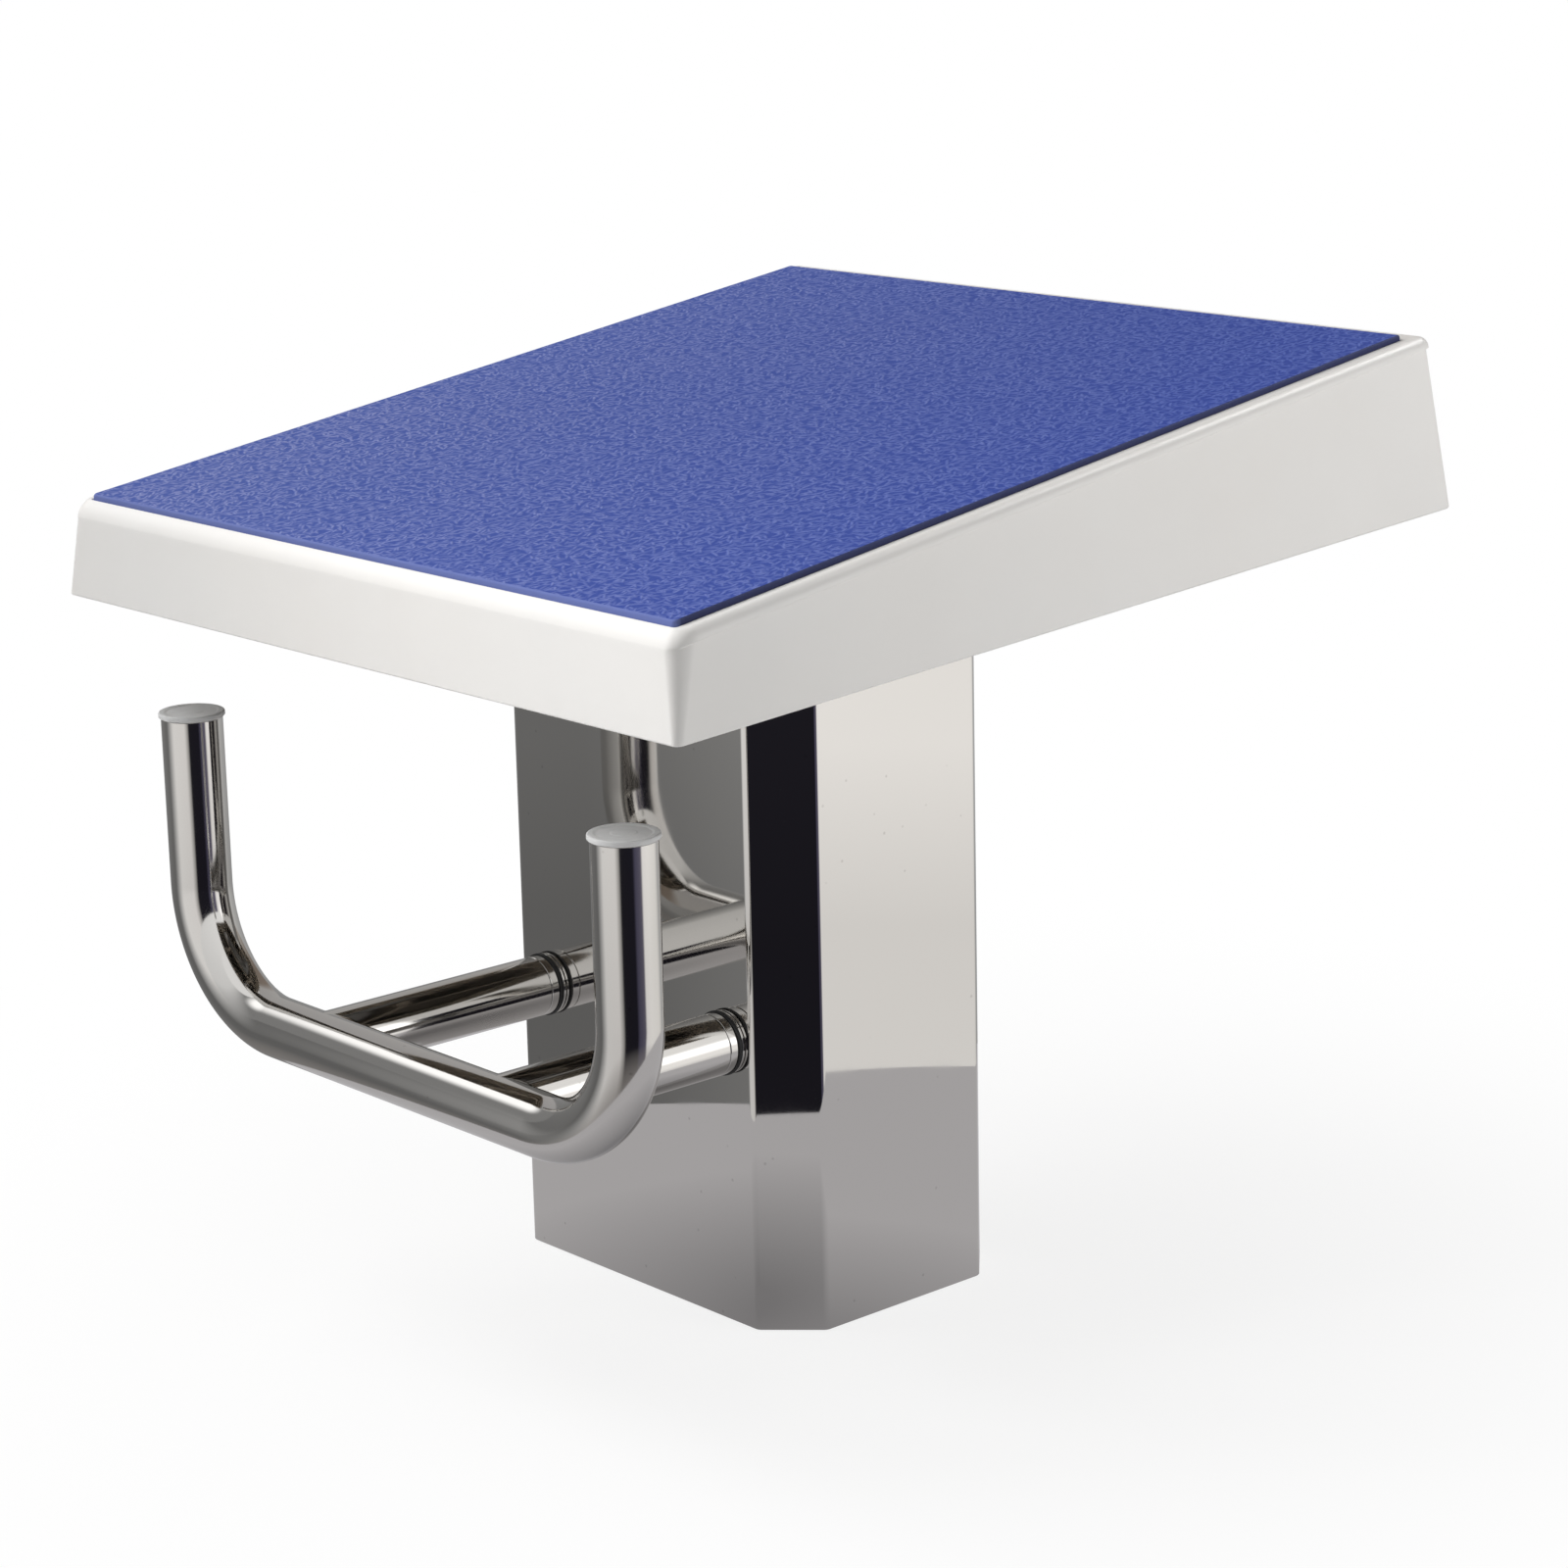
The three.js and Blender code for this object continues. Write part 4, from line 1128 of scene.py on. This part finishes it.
def tones_round(tree, share, tones):
    """The tone at each share of a full turn, from a list of them with their turns in degrees."""
    ramp = add(tree, "ShaderNodeValToRGB", {0: share})
    stops = ramp.color_ramp.elements
    while len(stops) > 1:
        stops.remove(stops[-1])
    for degrees, tone in tones:
        stop = stops.new((degrees + 180) / 360)
        stop.color = (*tone, 1)
    stops.remove(stops[0])
    return ramp.outputs[0]


def wall_material():
    """Walls further out, each as bright as it looks in the steel, over a dim ground."""
    material, tree, glow, place = glowing("studio_walls")
    parts = add(tree, "ShaderNodeSeparateXYZ", {0: place}).outputs
    turn = reckon(tree, "ARCTAN2", parts["X"], reckon(tree, "MULTIPLY", parts["Y"], -1))
    share = remap(tree, turn, (-math.pi, math.pi))
    wall, slope = (tones_round(tree, share, tones) for tones in (WALL_TONES, SLOPE_TONES))
    around = blend(tree, reckon(tree, "GREATER_THAN", parts["Z"], WALL_TOP), wall, slope)
    on_ground = remap(tree, distance_from(tree, place, (0, 0, WALL_FOOT)), GROUND_FADE)
    fill(tree, glow, {
        "Color": blend(tree, on_ground, around, (*GROUND_TONE, 1)),
        "Strength": remap(tree, parts["Z"], *WALL_BRIGHTNESS),
    })
    return material


def flat_disc(radius, place):
    form = bmesh.new()
    bmesh.ops.create_circle(form, cap_ends=True, radius=radius, segments=WALL_SIDES)
    return moved(as_mesh(form, "disc"), Matrix.Translation(place))


def round_wall():
    form = bmesh.new()
    rows = []
    profile = (
        (PLINTH_RADIUS / 2, WALL_FOOT),
        (WALL_RADIUS, WALL_FOOT),
        (WALL_RADIUS, WALL_TOP),
        (CEILING_RADIUS, CEILING_HEIGHT),
    )
    for radius, height in profile:
        row = []
        for i in range(WALL_SIDES):
            angle = 2 * math.pi * i / WALL_SIDES
            row.append(form.verts.new((radius * math.cos(angle), radius * math.sin(angle), height)))
        rows.append(row)
    for low, high in zip(rows, rows[1:]):
        for i in range(WALL_SIDES):
            j = (i + 1) % WALL_SIDES
            form.faces.new((low[i], low[j], high[j], high[i]))
    return as_mesh(form, "wall")


floor_disc = flat_disc(FLOOR_SIZE / 2, (0, 0, -FLOOR_DROP))
floor = stage_object("studio_floor", floor_disc, floor_material(), False)
floor.visible_glossy = False
plinth_top = flat_disc(PLINTH_RADIUS, (*PLINTH_PLACE, -FLOOR_DROP / 2))
stage_object("plinth_top", plinth_top, plinth_material(), True)
stage_object("round_wall", round_wall(), wall_material(), True)

# Lamps and lamp covers stand round the block. A place is the turn from the pool side towards +X and the
# height, both in degrees, and the distance in metres, all as seen from the point that it is aimed at.
BLOCK_MIDDLE = Vector((0, 0, 0.32))
FRONT_CORNER = Vector((platform_high.x, platform_low.y, top_front_z))
FRONT_AIM = FRONT_CORNER + Vector((150 * MM, 0, 0))
SIDE_AIM = Vector((platform_high.x, 150 * MM, 0.4))
SKY_LIGHT = 0.35
COVER_CORE_SHARE = 0.25
# The name, place, width and height, and brightness of each, and for a lamp its beam in degrees
LAMPS = (
    ("key_lamp", (BLOCK_MIDDLE, -60, 46, 2.4), (1.8, 1.5), 6.1, 180),
    ("front_lamp", (FRONT_AIM, -46, 20, 1.5), (0.3, 0.3), 2.5, 44),
    ("side_lamp", (SIDE_AIM, 108, 14, 0.8), (0.6, 0.5), 2.8, 180),
)
COVERS = (
    ("key_cover", (BLOCK_MIDDLE, -68, 37, 1.9), (1.5, 1.1), 1.3),
    ("side_cover", (BLOCK_MIDDLE, 126, 8, 2.0), (1.4, 1.0), 1.2),
    ("high_cover", (BLOCK_MIDDLE, 160, 47, 1.9), (1.0, 1.0), 10),
)


def lamp_place(aim, turn, height, distance):
    turn, height = math.radians(turn), math.radians(height)
    out = Vector((math.sin(turn) * math.cos(height), -math.cos(turn) * math.cos(height), math.sin(height)))
    return Matrix.Translation(aim + out * distance) @ out.to_track_quat("Z", "Y").to_matrix().to_4x4()


def add_lamp(name, place, size, brightness, beam):
    light = bpy.data.lights.new(name, "AREA")
    light.shape = "RECTANGLE"
    light.size, light.size_y = size
    light.energy = brightness * size[0] * size[1] * math.pi
    light.spread = math.radians(beam)
    lamp = bpy.data.objects.new(name, light)
    bpy.context.scene.collection.objects.link(lamp)
    lamp.matrix_world = lamp_place(*place)
    lamp.visible_camera = False
    lamp.visible_glossy = False


def add_cover(name, place, size, brightness):
    """The bright cloth of a lamp as the steel shows it, dimmer towards its edges."""
    material, tree, glow, place_on = glowing(name)
    scaled = add(tree, "ShaderNodeMapping", {"Vector": place_on, "Scale": (2 / size[0], 2 / size[1], 0)})
    distance = distance_from(tree, scaled.outputs[0], (0, 0, 0))
    fade = remap(tree, distance, (1, COVER_CORE_SHARE), interpolation_type="SMOOTHSTEP")
    tree.links.new(reckon(tree, "MULTIPLY", fade, brightness), glow.inputs["Strength"])
    clear = add(tree, "ShaderNodeBsdfTransparent")
    both = add(tree, "ShaderNodeAddShader", {0: glow.outputs[0], 1: clear.outputs[0]})
    tree.links.new(both.outputs[0], tree.nodes["Material Output"].inputs["Surface"])
    form = bmesh.new()
    bmesh.ops.create_grid(form, x_segments=1, y_segments=1, size=0.5)
    bmesh.ops.scale(form, vec=(*size, 1), verts=form.verts)
    cover = stage_object(name, as_mesh(form, name), material, True)
    cover.matrix_world = lamp_place(*place)


for name, place, size, brightness, beam in LAMPS:
    add_lamp(name, place, size, brightness, beam)
for name, place, size, brightness in COVERS:
    add_cover(name, place, size, brightness)

world = bpy.data.worlds.new("white_sky")
bpy.context.scene.world = world
world.use_nodes = True
sky_tree = world.node_tree
sky_tree.nodes.clear()
sky = add(sky_tree, "ShaderNodeBackground", {
    "Color": colour(WHITE),
    "Strength": remap(sky_tree, seen_directly(sky_tree), (0, 1), (SKY_LIGHT, 1)),
})
add(sky_tree, "ShaderNodeOutputWorld", {"Surface": sky.outputs[0]})

# Camera. It stands where the photograph was taken: ahead of the block and to its right, a little above
# the platform, with a long lens. Roll is how far it was tilted about its own axis.
CAMERA_PLACE = Vector((1622.2, -1402.0, 817.7)) * MM
CAMERA_TURN = math.radians(48.574)
CAMERA_HEIGHT = math.radians(14.308)
CAMERA_ROLL = math.radians(-1.295)
SENSOR = 36
FOCAL_PIXELS = 4077.9
PHOTO_PIXELS = 1600

back = Vector((
    math.sin(CAMERA_TURN) * math.cos(CAMERA_HEIGHT),
    -math.cos(CAMERA_TURN) * math.cos(CAMERA_HEIGHT),
    math.sin(CAMERA_HEIGHT),
))
level_right = Vector((0, 0, 1)).cross(back).normalized()
level_up = back.cross(level_right)
right = level_right * math.cos(CAMERA_ROLL) + level_up * math.sin(CAMERA_ROLL)
up = back.cross(right)
camera_data = bpy.data.cameras.new("camera")
camera_data.sensor_width = SENSOR
camera_data.lens = FOCAL_PIXELS / PHOTO_PIXELS * SENSOR
camera = bpy.data.objects.new("camera", camera_data)
bpy.context.scene.collection.objects.link(camera)
camera.matrix_world = Matrix.Translation(CAMERA_PLACE) @ Matrix((right, up, back)).transposed().to_4x4()
bpy.context.scene.camera = camera
bpy.context.scene.view_settings.view_transform = "Standard"
